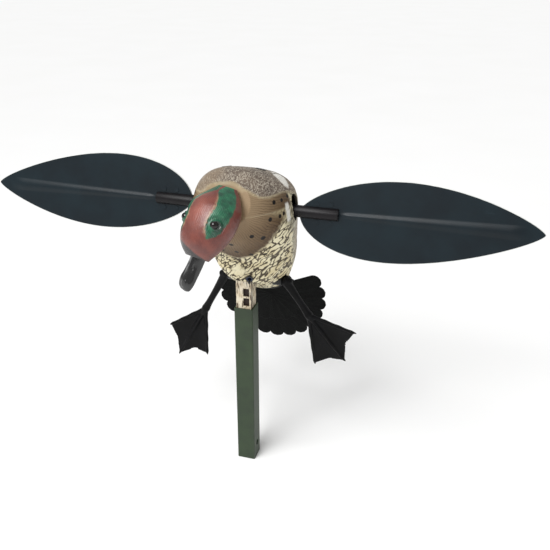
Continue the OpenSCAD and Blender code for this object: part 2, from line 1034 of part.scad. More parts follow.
module wing_blade(slim_top) {
    in_blade()
        difference() {
            union() {
                translate([0, 0, -blade_t / 2])
                    linear_extrude(blade_t)
                        blade_outline(slim_top);
                translate([0, 0, -blade_t / 2 - 0.8])
                    linear_extrude(1)
                        polygon([[hub_x1 + 1, -1.4], [268, -5.4], [272, -3], [272, 3], [268, 5.4],
                            [hub_x1 + 1, 1.4]]);
            }
            along_x(0, hub_x1 + 0.1, hub_r + 0.05);
            for (p = rivet_spots)
                translate([p[0], p[1], -5])
                    cylinder(r = rivet_r, h = 10);
        }
}

module wing_hub() {
    difference() {
        union() {
            along_x(hub_x0, hub_x1, hub_r);
            in_blade()
                translate([0, 0, blade_t / 2 + 0.05])
                    linear_extrude(1.6)
                        polygon([[flange_x[0], -flange_a], [flange_x[1], -flange_c], [flange_x[2], -flange_c],
                            [flange_x[2], flange_c], [flange_x[1], flange_c], [flange_x[0], flange_a]]);
        }
        along_x(0, shaft_end + 0.6, shaft_r + running);
        translate([hub_x0 + 1.9, 0, 0])
            cube([3.9, 2 * pin_r + 0.4, 2 * hub_r + 2], center = true);
        in_blade()
            for (p = rivet_spots)
                translate([p[0], p[1], -5])
                    cylinder(r = rivet_r, h = 10);
    }
}

module wing_rivets() {
    in_blade()
        for (p = rivet_spots)
            translate([p[0], p[1], 0]) {
                translate([0, 0, -blade_t / 2 - 0.55])
                    cylinder(r = 2.3, h = 0.5);
                translate([0, 0, -blade_t / 2 - 0.05])
                    cylinder(r = rivet_r - 0.02, h = blade_t + 1.8);
                translate([0, 0, blade_t / 2 + 1.7])
                    cylinder(r = 2.6, h = 0.9);
            }
}

module left_wing_blade() {
    color("darkslategray")
        at_wing()
            wing_blade(true);
}

module left_wing_hub() {
    color("black")
        at_wing()
            wing_hub();
}

module left_wing_rivets() {
    color("silver")
        at_wing()
            wing_rivets();
}

module right_wing_blade() {
    color("darkslategray")
        at_wing()
            mirrored(true)
                wing_blade(false);
}

module right_wing_hub() {
    color("black")
        at_wing()
            mirrored(true)
                wing_hub();
}

module right_wing_rivets() {
    color("silver")
        at_wing()
            mirrored(true)
                wing_rivets();
}

// ---------------------------------------------------------------- legs
module leg(points) {
    ankle = points[0];
    toes = [points[2], points[3], points[4]];
    knob_x = hip_at[0] + 0.5;
    along_x(knob_x - peg_len, knob_x, peg_r, hip_at[1], hip_at[2]);
    along_x(knob_x, knob_x + knob_len, knob_r, hip_at[1], hip_at[2]);
    rod([knob_x + 4, hip_at[1], hip_at[2] - 1], ankle, leg_r);
    translate(ankle)
        rotate([points[1], 0, 0]) {
            sphere(ankle_r);
            for (toe = toes)
                rod([0, 0, 0], [toe[0], 0, toe[1]], toe_r);
            for (toe = toes)
                translate([toe[0], 0, toe[1]])
                    sphere(toe_r + 0.3);
            translate([0, web_t / 2, 0])
                rotate([90, 0, 0])
                    linear_extrude(web_t)
                        difference() {
                            polygon(concat([[0, 0]], toes));
                            for (i = [0, 1])
                                translate((toes[i] + toes[i + 1]) * points[5 + i][0])
                                    circle(points[5 + i][1]);
                        }
        }
}

module left_leg() {
    color("dimgray")
        at_wing()
            leg(left_points);
}

module right_leg() {
    color("dimgray")
        at_wing()
            mirrored(true)
                leg(right_points);
}

module hip_socket() {
    difference() {
        along_x(hip_at[0] - socket_len, hip_at[0], socket_r, hip_at[1], hip_at[2]);
        along_x(hip_at[0] - socket_len + 1, hip_at[0] + 2, peg_r + running, hip_at[1], hip_at[2]);
    }
}

module hip_socket_left() {
    color("dimgray")
        at_wing()
            hip_socket();
}

module hip_socket_right() {
    color("dimgray")
        at_wing()
            mirrored(true)
                hip_socket();
}

pole_tube();
body_shell();
head();
bill();
eyes();
tail_fan();
tail_screws();
spigot();
spigot_screws();
motor_frame();
frame_screws();
shaft_bush_left();
shaft_bush_right();
motor_can();
motor_end_cap();
motor_screws();
battery_tray();
battery_cells();
contact_plates();
contact_springs();
switch_body();
switch_nut();
leads();
hip_socket_left();
hip_socket_right();
body_hinge_leaf();
hinge_pin();
hatch_lid();
lid_hinge_leaf();
hatch_latch_left();
hatch_latch_right();
switch_lever();
wing_shaft();
drive_gear();
shaft_collars();
drive_pins();
motor_shaft();
pinion();
left_wing_blade();
left_wing_hub();
left_wing_rivets();
right_wing_blade();
right_wing_hub();
right_wing_rivets();
left_leg();
right_leg();
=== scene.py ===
"""Looks of the motion wing decoy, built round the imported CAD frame."""

import math

import bpy
import numpy as np
from mathutils import Matrix, Vector, noise


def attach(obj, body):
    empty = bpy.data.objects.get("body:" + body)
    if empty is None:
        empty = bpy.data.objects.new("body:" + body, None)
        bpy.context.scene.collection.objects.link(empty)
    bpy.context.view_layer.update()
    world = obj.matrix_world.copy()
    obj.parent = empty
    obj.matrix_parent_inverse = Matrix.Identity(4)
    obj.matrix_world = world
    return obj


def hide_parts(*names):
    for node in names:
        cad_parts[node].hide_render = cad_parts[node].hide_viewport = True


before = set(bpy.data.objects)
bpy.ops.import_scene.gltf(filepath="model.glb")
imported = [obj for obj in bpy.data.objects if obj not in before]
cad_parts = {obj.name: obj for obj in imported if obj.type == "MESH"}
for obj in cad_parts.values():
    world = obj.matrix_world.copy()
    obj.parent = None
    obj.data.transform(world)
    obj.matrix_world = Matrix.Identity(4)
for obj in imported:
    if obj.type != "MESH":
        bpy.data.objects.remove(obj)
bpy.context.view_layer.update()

MM = 0.001
WING = np.array([0, 2.5, 315.5])  # the wing axis' centre, in mm; most pieces are drawn about it

# Cross-sections of the body from the neck to the rump, each with its back y and z, front y
# and z, half width, and roundness behind and in front.
BODY_ROWS = [
    [-50.2, 42.7, -63.7, 0.8, 24.8, 2.0, 2.0],
    [-30, 48.2, -54.9, -17.4, 37.6, 2.3, 2.2],
    [-5.3, 43, -42.5, -31, 48.1, 2.6, 2.3],
    [23.1, 33.2, -30, -44, 54.6, 2.8, 2.4],
    [49, 15, -19, -60, 50.2, 2.5, 2.0],
    [67, -12.8, -10.6, -82, 46.8, 2.2, 1.85],
    [76, -44.8, 12, -96.5, 42.4, 2.2, 1.9],
    [81.6, -75.8, 38.6, -111.1, 33.7, 2.2, 2.2],
    [84.2, -94, 66.7, -126.1, 26.1, 2.2, 2.2],
    [85.5, -106, 91.3, -135, 20.4, 2.2, 2.2],
]
BODY_WALL = 2.2
# Cross-sections of the head and bill: place along the bill, top, underside, half width, roundness.
HEAD_ROWS = [
    [3, 7, -8, 13, 2.0],
    [-2, 12.6, -9.6, 17.4, 2.0],
    [-9, 18.1, -14.6, 21.5, 2.0],
    [-20, 21.1, -20.9, 24.9, 2.0],
    [-34, 21.5, -24.9, 26.5, 2.0],
    [-48, 18.3, -24.5, 25.1, 2.0],
    [-60, 7.6, -21.6, 17.9, 2.0],
    [-69, -2.8, -13.7, 11, 2.0],
]
BILL_ROWS = [
    [35.8, -5.5, -6.5, 3.2, 2.0],
    [33.6, -4, -8, 7.4, 2.2],
    [26.8, -1.2, -9.2, 8.9, 2.4],
    [17.7, 0.4, -9.8, 8.1, 2.4],
    [8.7, 2.4, -9.6, 7.8, 2.2],
    [1, 4.2, -8.6, 7.9, 2.0],
]
HEAD_AT = (-14.7, -94.7, -17.7)
HEAD_TURN = 22.7
HEAD_DROP = 57.8
HEAD_ROLL = -2
BILL_TURN = -13
EYE_AT = (-30, 17.4, 14)
EYE_SURFACE = 20.2  # how far out the head's skin is at the eye
EYE_R = 4.1
LATCH_AT = (18, -2.5, 41)
LATCH_LEAN = 14
LATCH_ROLL = 10
HATCH_LEAN = 48.5
HATCH_FLOOR = 1  # the hatch cut runs from this height in its own frame to its top
HATCH_TOP = 61


# ---------- geometry helpers
def srgb(r, g, b):
    """A colour from 0 to 255, as the linear values that shaders take."""
    return tuple((c / 255) ** 2.2 for c in (r, g, b)) + (1.0,)


def step(low, high, value):
    """0 below low, 1 above high, smooth between."""
    t = np.clip((value - low) / (high - low), 0, 1)
    return t * t * (3 - 2 * t)


def bell(value, width):
    return np.exp(-((value / width) ** 2))


def noise_at(points, size, shift=0.0):
    """Smooth noise from -1 to 1 at points in mm, with features of that size."""
    return np.array([noise.noise(Vector(p)) for p in np.asarray(points) / size + shift])


def power(value, roundness):
    return np.sign(value) * np.abs(value) ** (2 / roundness)


def along(rows, s):
    """The rows, smoothly interpolated at the places s."""
    rows, s = np.asarray(rows, float), np.asarray(s, float)
    last = len(rows) - 1
    i = np.clip(np.floor(s).astype(int), 0, last - 1)
    t = (s - i)[:, None]
    a, b, c, d = (
        rows[np.maximum(i - 1, 0)],
        rows[i],
        rows[i + 1],
        rows[np.minimum(i + 2, last)],
    )
    return b + 0.5 * t * ((c - a) + t * ((2 * a - 5 * b + 4 * c - d) + t * (3 * (b - c) + d - a)))


def even_places(rows, start, end, count, columns):
    """Places from start to end along the rows, evenly spaced over the surface."""
    s = np.linspace(start, end, 400)
    r = along(rows, s)
    length = sum(np.linalg.norm(np.diff(r[:, pair], axis=0), axis=1) for pair in columns)
    run = np.concatenate([[0], np.cumsum(length)])
    return np.interp(np.linspace(0, run[-1], count), run, s)


def body_rings(start, end, inset, count, sides):
    """Rings of the body, with each ring's place and each point's angle."""
    s = even_places(BODY_ROWS, start, end, count, ([0, 1], [2, 3]))
    r = along(BODY_ROWS, s)
    a = 2 * np.pi * np.arange(sides) / sides
    mid = (r[:, 0:2] + r[:, 2:4]) / 2
    half = (r[:, 0:2] - r[:, 2:4]) / 2
    size = np.linalg.norm(half, axis=1)
    shrink = (size - inset) / size
    roundness = np.where(a[None] > np.pi, r[:, 6:7], r[:, 5:6])
    u = shrink[:, None] * power(np.sin(a)[None], roundness)
    x = (r[:, 4:5] - inset) * power(np.cos(a)[None], roundness)
    rings = np.stack([x, mid[:, 0:1] + half[:, 0:1] * u, mid[:, 1:2] + half[:, 1:2] * u], -1)
    return rings, s, a


def head_rings(rows, start, end, inset, count, sides):
    s = even_places(rows, start, end, count, ([0, 1], [0, 2], [0, 3]))
    r = along(rows, s)
    a = 2 * np.pi * np.arange(sides) / sides
    u = power(np.sin(a)[None], r[:, 4:5])
    y = (r[:, 3:4] - inset) * power(np.cos(a)[None], r[:, 4:5])
    z = (r[:, 1:2] + r[:, 2:3]) / 2 + ((r[:, 1:2] - r[:, 2:3]) / 2 - inset) * u
    x = np.repeat(r[:, 0:1], sides, 1)
    return np.stack([x, y, z], -1), s, a


def close_ends(rings, count=8):
    """The rings with others inside each end, so that the ends are flat grids."""
    inner = np.linspace(0.04, 0.94, count)
    middles = [(rings[e].min(0) + rings[e].max(0)) / 2 for e in (0, -1)]
    first = [middles[0] + (rings[0] - middles[0]) * k for k in inner]
    last = [middles[1] + (rings[-1] - middles[1]) * k for k in inner[::-1]]
    return np.concatenate([first, rings, last])


def skin(rings, flip=False):
    """Points and faces of a closed skin over a grid of rings."""
    n, m = rings.shape[:2]
    points = np.vstack([rings.reshape(-1, 3), rings[0].mean(0), rings[-1].mean(0)])
    i, j = np.meshgrid(np.arange(n - 1), np.arange(m), indexing="ij")
    k = (j + 1) % m
    quads = np.stack([i * m + j, i * m + k, (i + 1) * m + k, (i + 1) * m + j], -1)
    j = np.arange(m)
    k = (j + 1) % m
    first = np.stack([np.full(m, n * m), k, j], -1)
    last = np.stack([np.full(m, n * m + 1), (n - 1) * m + j, (n - 1) * m + k], -1)
    faces = quads.reshape(-1, 4).tolist() + first.tolist() + last.tolist()
    if flip:
        faces = [f[::-1] for f in faces]
    return points, faces


def placed(points, matrix):
    """Points in mm, moved by a 4x4 matrix in mm."""
    m = np.array(matrix)
    return points @ m[:3, :3].T + m[:3, 3]


def turn(axis, degrees):
    return Matrix.Rotation(math.radians(degrees), 4, axis)


def shift(x, y, z):
    return Matrix.Translation((x, y, z))


IN_HEAD = shift(*HEAD_AT) @ turn("Z", -90 - HEAD_TURN) @ turn("Y", HEAD_DROP) @ turn("X", HEAD_ROLL)
IN_BILL = IN_HEAD @ turn("Z", BILL_TURN)
IN_HATCH = turn("X", -HATCH_LEAN)
IN_TAIL = shift(0, 93.3, -145) @ turn("X", -78.5)
IN_SWITCH = shift(8, -13.5, -75) @ turn("Z", 13) @ turn("X", 111)
MIRROR = Matrix.Diagonal((-1, 1, 1, 1))
ACROSS = Matrix(((0, 0, 1, 0), (1, 0, 0, 0), (0, 1, 0, 0), (0, 0, 0, 1)))  # from y, z outlines
IN_BLADE = turn("X", 78) @ Matrix.Diagonal((1, 1, -1, 1))


def in_latch(side):
    """The frame of one hatch latch, whose Z points out of the lid."""
    x, y, z = LATCH_AT
    return shift(side * x, y, z) @ turn("X", -LATCH_LEAN) @ turn("Y", side * LATCH_ROLL)


def new_object(name, points, faces):
    """An object from points in mm about the wing axis."""
    mesh = bpy.data.meshes.new(name)
    mesh.from_pydata(((np.asarray(points) + WING) * MM).tolist(), [], faces)
    mesh.validate()
    mesh.update()
    obj = bpy.data.objects.new(name, mesh)
    bpy.context.scene.collection.objects.link(obj)
    return obj


def places_of(obj):
    """The object's points, in metres."""
    co = np.zeros(len(obj.data.vertices) * 3)
    obj.data.vertices.foreach_get("co", co)
    return co.reshape(-1, 3)


def facing_out(obj):
    """Turns a closed mesh's faces outward if they face inward."""
    mesh = obj.data
    mesh.calc_loop_triangles()
    co = places_of(obj)
    tri = np.zeros(len(mesh.loop_triangles) * 3, int)
    mesh.loop_triangles.foreach_get("vertices", tri)
    a, b, c = (co[tri.reshape(-1, 3)[:, k]] for k in range(3))
    if np.einsum("ij,ij->", a, np.cross(b, c)) < 0:
        mesh.flip_normals()
    return obj


def set_field(obj, name, values):
    """Stores one number per point, for the material to read."""
    field = obj.data.attributes.new(name, "FLOAT", "POINT")
    field.data.foreach_set("value", np.asarray(values, np.float32))


def push(obj, amounts):
    """Moves each point along its normal by that many mm."""
    normals = np.zeros(len(obj.data.vertices) * 3)
    obj.data.vertex_normals.foreach_get("vector", normals)
    moved = normals.reshape(-1, 3) * np.asarray(amounts)[:, None] * MM
    obj.data.vertices.foreach_set("co", places_of(obj).ravel() + moved.ravel())
    obj.data.update()


def baked(obj):
    """Replaces the object's mesh with what its modifiers make of it."""
    graph = bpy.context.evaluated_depsgraph_get()
    mesh = bpy.data.meshes.new_from_object(obj.evaluated_get(graph))
    obj.modifiers.clear()
    obj.data = mesh
    return obj


def cut(obj, tool, operation="DIFFERENCE", keep_tool=False):
    m = obj.modifiers.new("cut", "BOOLEAN")
    m.operation, m.object, m.solver = operation, tool, "MANIFOLD"
    baked(obj)
    if not keep_tool:
        bpy.data.objects.remove(tool)
    return obj


def smooth(obj, degrees=35):
    obj.data.polygons.foreach_set("use_smooth", [True] * len(obj.data.polygons))
    obj.data.set_sharp_from_angle(angle=math.radians(degrees))
    return obj


def copy_of(obj, name):
    new = obj.copy()
    new.data = obj.data.copy()
    new.name = name
    bpy.context.scene.collection.objects.link(new)
    return new


def prism(outline, low, high, matrix):
    """A closed solid on an outline of x, y points, from z low to z high."""
    outline = np.asarray(outline, float)
    n = len(outline)
    points = np.vstack([np.column_stack([outline, np.full(n, z)]) for z in (low, high)])
    faces = [[i, (i + 1) % n, n + (i + 1) % n, n + i] for i in range(n)]
    faces += [list(range(n))[::-1], list(range(n, 2 * n))]
    return facing_out(new_object("tool", placed(points, matrix), faces))


def circle(radius, at=(0, 0), sides=64, start=0, end=360):
    a = np.radians(np.linspace(start, end, sides, endpoint=end - start < 360))
    return np.column_stack([at[0] + radius * np.cos(a), at[1] + radius * np.sin(a)])


def tube(path, radii, sides=24, steps=8):
    """Rings round a smooth path, with a radius at each of its points and round ends."""
    rows = np.column_stack([path, radii]).astype(float)
    s = np.linspace(0, len(rows) - 1, steps * (len(rows) - 1) + 1)
    line = along(rows, s)
    ahead = np.gradient(line[:, :3], axis=0)
    ahead /= np.linalg.norm(ahead, axis=1)[:, None]
    side = np.cross(ahead[0], [0.1, 1, 0.2])
    rings = []
    a = 2 * np.pi * np.arange(sides) / sides
    for point, direction in zip(line, ahead):
        side = side - direction * (side @ direction)
        side /= np.linalg.norm(side)
        other = np.cross(direction, side)
        rings.append(
            point[:3] + point[3] * (np.cos(a)[:, None] * side + np.sin(a)[:, None] * other)
        )
    rings = np.array(rings)
    caps = []
    for end, sign in ((0, -1), (-1, 1)):
        bend = np.radians(np.arange(15, 90, 15))
        middle, r = line[end, :3], line[end, 3]
        caps.append(
            [
                middle + (rings[end] - middle) * np.cos(b) + sign * ahead[end] * r * np.sin(b)
                for b in bend
            ]
        )
    return np.concatenate([caps[0][::-1], rings, caps[1]])


# ---------- materials
SOCKETS = {
    "rough": "Roughness",
    "metal": "Metallic",
    "coat": "Coat Weight",
    "coat_rough": "Coat Roughness",
    "sheen": "Sheen Weight",
    "specular": "Specular IOR Level",
}


class Paint:
    """Builds one procedural material round its Principled shader."""

    def __init__(self, name, **surface):
        self.mat = bpy.data.materials.new(name)
        self.mat.use_nodes = True
        self.tree = self.mat.node_tree
        self.shader = self.tree.nodes["Principled BSDF"]
        for key, value in surface.items():
            self.shader.inputs[SOCKETS[key]].default_value = value
        place = self.add("ShaderNodeTexCoord").outputs["Object"]
        self.mm = self.add(
            "ShaderNodeVectorMath", {"operation": "SCALE"}, {0: place, "Scale": 1000.0}
        ).outputs[0]

    def add(self, kind, settings=None, inputs=None):
        node = self.tree.nodes.new(kind)
        for key, value in (settings or {}).items():
            setattr(node, key, value)
        for key, value in (inputs or {}).items():
            if isinstance(value, bpy.types.NodeSocket):
                self.tree.links.new(value, node.inputs[key])
            else:
                node.inputs[key].default_value = value
        return node

    def field(self, name):
        return self.add("ShaderNodeAttribute", {"attribute_name": name}).outputs["Fac"]

    def math(self, operation, a, b=0.0, c=0.0):
        inputs = {0: a, 1: b, 2: c}
        return self.add("ShaderNodeMath", {"operation": operation}, inputs).outputs[0]

    def noise(self, size, detail=3.0, rough=0.55, stretch=(1, 1, 1), turned=(0, 0, 0)):
        """Noise with features of that size in mm, stretched along X, Y and Z."""
        scale = [1 / (size * s) for s in stretch]
        place = self.add(
            "ShaderNodeMapping",
            inputs={
                "Vector": self.mm,
                "Scale": scale,
                "Rotation": [math.radians(t) for t in turned],
            },
        ).outputs[0]
        return self.add(
            "ShaderNodeTexNoise",
            inputs={"Vector": place, "Scale": 1.0, "Detail": detail, "Roughness": rough},
        ).outputs["Fac"]

    def step(self, low, high, value):
        """0 below low, 1 above high."""
        inputs = {"Value": value, "From Min": low, "From Max": high}
        kind = {"interpolation_type": "SMOOTHSTEP"}
        return self.add("ShaderNodeMapRange", kind, inputs).outputs[0]

    def mix(self, share, a, b):
        inputs = {0: share, 6: a, 7: b}
        return self.add("ShaderNodeMix", {"data_type": "RGBA"}, inputs).outputs[2]

    def colour(self, value):
        socket = self.shader.inputs["Base Color"]
        if isinstance(value, bpy.types.NodeSocket):
            self.tree.links.new(value, socket)
        else:
            socket.default_value = value

    def rough(self, value):
        self.tree.links.new(value, self.shader.inputs["Roughness"])

    def spread(self, value, low, high):
        """A value from 0 to 1, as one from low to high."""
        return self.math("MULTIPLY_ADD", value, high - low, low)

    def bump(self, height, depth, after=None):
        """Raises the surface by height times depth in mm."""
        inputs = {"Height": height, "Distance": depth * MM, "Strength": 1.0}
        if after is not None:
            inputs["Normal"] = after
        made = self.add("ShaderNodeBump", inputs=inputs).outputs[0]
        for link in list(self.shader.inputs["Normal"].links):
            self.tree.links.remove(link)
        self.tree.links.new(made, self.shader.inputs["Normal"])
        return made


def body_paint():
    """Airbrushed plastic: tan breast, grey-brown back, cream belly with dark strokes, black rump."""
    p = Paint("body_paint", coat=0.04, coat_rough=0.35, specular=0.25)
    grain = p.noise(2.6, 4)
    cloud = p.noise(17, 3)
    fine = p.noise(0.9, 2)
    cream = p.mix(p.step(0.35, 0.7, cloud), srgb(228, 219, 186), srgb(210, 196, 156))
    streaks = p.noise(2.4, 4, 0.6, (1, 1, 3.2))
    flank = p.mix(p.step(0.35, 0.65, streaks), srgb(186, 182, 160), srgb(122, 116, 98))
    base = p.mix(p.field("flank"), cream, flank)
    stroke = p.math("ABSOLUTE", p.field("worm"))
    inked = p.math("MULTIPLY", p.step(0.24, 0.11, stroke), p.field("belly"))
    base = p.mix(p.math("MULTIPLY", inked, 0.93), base, srgb(50, 38, 27))
    lines = p.noise(1.5, 2, 0.5, (1, 3.6, 2.2), (20, 35, 30))
    ridge = p.math("ABSOLUTE", p.math("SUBTRACT", lines, 0.5))
    vein = p.step(0.055, 0.01, ridge)
    back = p.mix(p.step(0.3, 0.75, cloud), srgb(112, 100, 88), srgb(90, 80, 72))
    back = p.mix(p.math("MULTIPLY", vein, 0.75), back, srgb(188, 178, 162))
    back = p.mix(p.field("scale_edge"), back, srgb(178, 168, 148))
    plain_back = p.mix(p.step(0.35, 0.7, grain), srgb(150, 131, 108), srgb(118, 102, 84))
    back = p.mix(p.math("MAXIMUM", p.field("mantle"), p.field("rear")), plain_back, back)
    base = p.mix(p.field("back"), base, back)
    # Darker towards the breast's lower edge and darkest along it: partly the breast's paint, partly
    # painted shade on the underside of its dome.
    tan = p.mix(p.field("low_breast_paint_and_shade"), srgb(140, 118, 91), srgb(86, 67, 46))
    tan = p.mix(p.math("MULTIPLY", p.field("hem_paint_and_shade"), 0.7), tan, srgb(76, 58, 40))
    tan = p.mix(p.math("MULTIPLY", p.step(0.4, 0.75, grain), 0.35), tan, srgb(128, 106, 80))
    rays = p.math("SINE", p.math("ADD", p.field("rays"), p.spread(fine, -1.0, 1.0)))
    line = p.math("MULTIPLY", p.step(0.5, 0.98, rays), p.field("ray_share"))
    tan = p.mix(p.field("nape"), tan, srgb(152, 132, 105))
    tan = p.mix(p.math("MULTIPLY", line, 0.8), tan, srgb(60, 44, 30))
    base = p.mix(p.field("breast"), base, tan)
    spot = p.math("MULTIPLY_ADD", fine, 0.9, p.field("spots"))
    base = p.mix(p.step(1.5, 0.8, spot), base, srgb(22, 15, 10))
    # White: the real bars before the wings, and painted highlights on the shoulders.
    base = p.mix(p.field("white"), base, srgb(240, 238, 230))
    base = p.mix(p.field("rump"), base, srgb(20, 20, 19))
    p.colour(p.mix(p.field("painted"), srgb(62, 58, 52), base))
    p.rough(p.spread(grain, 0.42, 0.62))
    cut_in = p.math("MULTIPLY", inked, -0.5)
    relief = p.math("MULTIPLY_ADD", line, -0.5, cut_in)
    relief = p.math("MULTIPLY_ADD", p.math("MULTIPLY", vein, p.field("back")), 0.35, relief)
    p.bump(p.math("MULTIPLY_ADD", grain, 0.25, relief), 0.45)
    return p.mat


def head_paint():
    """Chestnut with a green patch on each side, a painted highlight as a pale line above it, a painted
    highlight on the crown, and a dark bill base.
    """
    p = Paint("head_paint", coat=0.35, coat_rough=0.22)
    grain, cloud, fine = p.noise(2.2, 4), p.noise(11, 3), p.noise(0.8, 2)
    base = p.mix(p.step(0.3, 0.7, cloud), srgb(112, 56, 45), srgb(90, 42, 35))
    # Painted highlight: a soft pinkish glow on the crown.
    base = p.mix(p.math("MULTIPLY", p.field("crown"), 0.7), base, srgb(152, 86, 72))
    base = p.mix(p.math("MULTIPLY", p.step(0.5, 0.8, grain), 0.3), base, srgb(78, 34, 29))
    # Painted highlight: a pale line along the green patch's upper edge.
    base = p.mix(p.field("pale"), base, srgb(176, 150, 118))
    green = p.mix(p.step(0.3, 0.72, cloud), srgb(30, 100, 70), srgb(12, 60, 44))
    green = p.mix(p.math("MULTIPLY", p.step(0.55, 0.8, grain), 0.35), green, srgb(98, 160, 116))
    base = p.mix(p.field("green"), base, green)
    base = p.mix(p.field("lid"), base, srgb(20, 40, 30))
    base = p.mix(p.field("dark"), base, srgb(26, 20, 19))
    p.colour(base)
    p.rough(p.spread(grain, 0.3, 0.5))
    line = p.math("SINE", p.math("ADD", p.field("barbs"), p.spread(fine, -1.2, 1.2)))
    p.bump(p.math("MULTIPLY_ADD", line, 0.35, p.math("MULTIPLY", grain, 0.6)), 0.22)
    return p.mat


def plastic(name, light, dark, rough=(0.35, 0.55), grain=1.2, depth=0.08, **surface):
    """A moulded or painted surface of two close shades with a fine grain."""
    p = Paint(name, **surface)
    cloud, fine = p.noise(14, 3), p.noise(grain, 3)
    base = p.mix(p.step(0.3, 0.7, cloud), srgb(*light), srgb(*dark))
    speck = p.math("MULTIPLY", p.step(0.62, 0.8, fine), 0.35)
    p.colour(p.mix(speck, base, srgb(*[min(255, c + 26) for c in light])))
    p.rough(p.spread(fine, *rough))
    p.bump(fine, depth)
    return p.mat


def metal(name, shade, rough=(0.2, 0.4), stretch=(10, 1, 1), depth=0.03):
    """Drawn or turned metal, with fine lines along its grain."""
    p = Paint(name, metal=1.0)
    brushed, cloud = p.noise(0.5, 3, 0.6, stretch), p.noise(6, 3)
    worn = tuple(int(c * 0.72) for c in shade)
    p.colour(p.mix(p.step(0.35, 0.75, cloud), srgb(*shade), srgb(*worn)))
    p.rough(p.spread(brushed, *rough))
    p.bump(brushed, depth)
    return p.mat


SPIGOT_FACE = -8.65  # the spigot's front face, in mm


def spigot_paint():
    """Cream paint with brown streaks that run down, and painted shade in the pockets."""
    p = Paint("spigot_cream", specular=0.3)
    streak = p.noise(2.6, 4, 0.6, (0.7, 0.7, 4.5))
    grain = p.noise(1.1, 3)
    base = p.mix(p.step(0.35, 0.65, p.noise(8, 3)), srgb(222, 212, 190), srgb(200, 184, 156))
    base = p.mix(p.math("MULTIPLY", p.step(0.52, 0.58, streak), 0.88), base, srgb(70, 52, 38))
    split = p.add("ShaderNodeSeparateXYZ", inputs={0: p.mm})
    # Painted shade: the pockets, about 1.5 to 4 mm behind the front face, are painted dark brown.
    deep = p.step(SPIGOT_FACE + 1.2, SPIGOT_FACE + 1.7, split.outputs["Y"])
    front = p.step(SPIGOT_FACE + 4.5, SPIGOT_FACE + 3.5, split.outputs["Y"])
    p.colour(p.mix(p.math("MULTIPLY", deep, front), base, srgb(44, 30, 22)))
    p.rough(p.spread(grain, 0.4, 0.6))
    p.bump(p.math("MULTIPLY_ADD", streak, 0.5, grain), 0.15)
    return p.mat


def wing_paint():
    """Dark slate front, off-white back and a bare pale rim."""
    p = Paint("wing_slate", coat=0.05, coat_rough=0.3, specular=0.25)
    cloud = p.noise(42, 3)
    grain = p.noise(0.9, 3, 0.5, (6, 1, 1))
    dark = p.mix(p.step(0.3, 0.7, cloud), srgb(12, 24, 30), srgb(17, 31, 37))
    scuff = p.noise(3.0, 4, 0.7, (9, 1, 1.0))
    dark = p.mix(p.math("MULTIPLY", p.step(0.66, 0.8, scuff), 0.3), dark, srgb(44, 58, 66))
    pale = p.mix(p.step(0.35, 0.7, cloud), srgb(222, 223, 220), srgb(205, 207, 204))
    edge = p.math("SUBTRACT", 4.0, p.field("near_edge"))
    rim = p.step(0.95, 0.6, p.math("MULTIPLY_ADD", grain, 0.3, edge))
    seen = p.math("SUBTRACT", 1.0, p.field("behind"))
    front = p.math("MULTIPLY", seen, p.math("SUBTRACT", 1.0, rim))
    p.colour(p.mix(front, pale, dark))
    p.rough(p.spread(grain, 0.36, 0.5))
    p.bump(grain, 0.06)
    return p.mat


def rubber_paint():
    """Black rubber with a faint sheen and fine creases."""
    p = Paint("leg_rubber", coat_rough=0.4, specular=0.14)
    crease = p.noise(1.6, 4, 0.6, (1, 1, 2.5))
    cloud = p.noise(16, 3)
    base = p.mix(p.step(0.3, 0.7, cloud), srgb(8, 8, 9), srgb(15, 15, 17))
    p.colour(p.mix(p.math("MULTIPLY", p.step(0.6, 0.8, crease), 0.4), base, srgb(30, 30, 33)))
    p.rough(p.spread(crease, 0.42, 0.6))
    p.bump(crease, 0.12)
    return p.mat


def tail_paint():
    """Matt black feathers with fine barbs running out from each shaft."""
    p = Paint("tail_black", specular=0.12)
    grain = p.noise(1.3, 3)
    barbs = p.math("SINE", p.math("ADD", p.field("barbs"), p.spread(grain, -1.5, 1.5)))
    base = p.mix(p.step(0.35, 0.7, p.noise(12, 3)), srgb(8, 9, 9), srgb(15, 17, 16))
    p.colour(p.mix(p.math("MULTIPLY", p.step(0.7, 1.0, barbs), 0.35), base, srgb(28, 30, 29)))
    p.rough(p.spread(grain, 0.5, 0.72))
    p.bump(p.math("MULTIPLY_ADD", barbs, 0.5, grain), 0.18)
    return p.mat


def eye_paint():
    """A dark brown iris round a black pupil, under a clear coat."""
    p = Paint("eye_gloss", rough=0.12, coat=0.4, coat_rough=0.02, specular=0.3)
    ring = p.field("pupil_mm")
    flecks = p.noise(0.5, 3)
    iris = p.mix(flecks, srgb(22, 13, 9), srgb(9, 6, 5))
    p.colour(p.mix(p.step(1.5, 1.2, ring), iris, srgb(5, 5, 6)))
    p.bump(flecks, 0.02)
    return p.mat


def cell_paint():
    """A wrapped dry cell: dark sleeve with a lighter band at one end and bare metal at the caps."""
    p = Paint("cell_blue", coat=0.4, coat_rough=0.12)
    fine = p.noise(1.0, 3)
    leaning = {"Vector": p.mm, "Rotation": (math.radians(HATCH_LEAN), 0, 0)}
    place = p.add("ShaderNodeMapping", inputs=leaning).outputs[0]
    split = p.add("ShaderNodeSeparateXYZ", inputs={0: place})
    band = p.step(0.45, 0.55, p.math("FRACT", p.math("MULTIPLY", split.outputs["Y"], 1 / 34)))
    base = p.mix(band, srgb(30, 62, 130), srgb(176, 122, 60))
    p.colour(p.mix(p.math("MULTIPLY", p.step(0.6, 0.8, fine), 0.3), base, srgb(90, 110, 160)))
    p.rough(p.spread(fine, 0.22, 0.36))
    p.bump(fine, 0.03)
    return p.mat


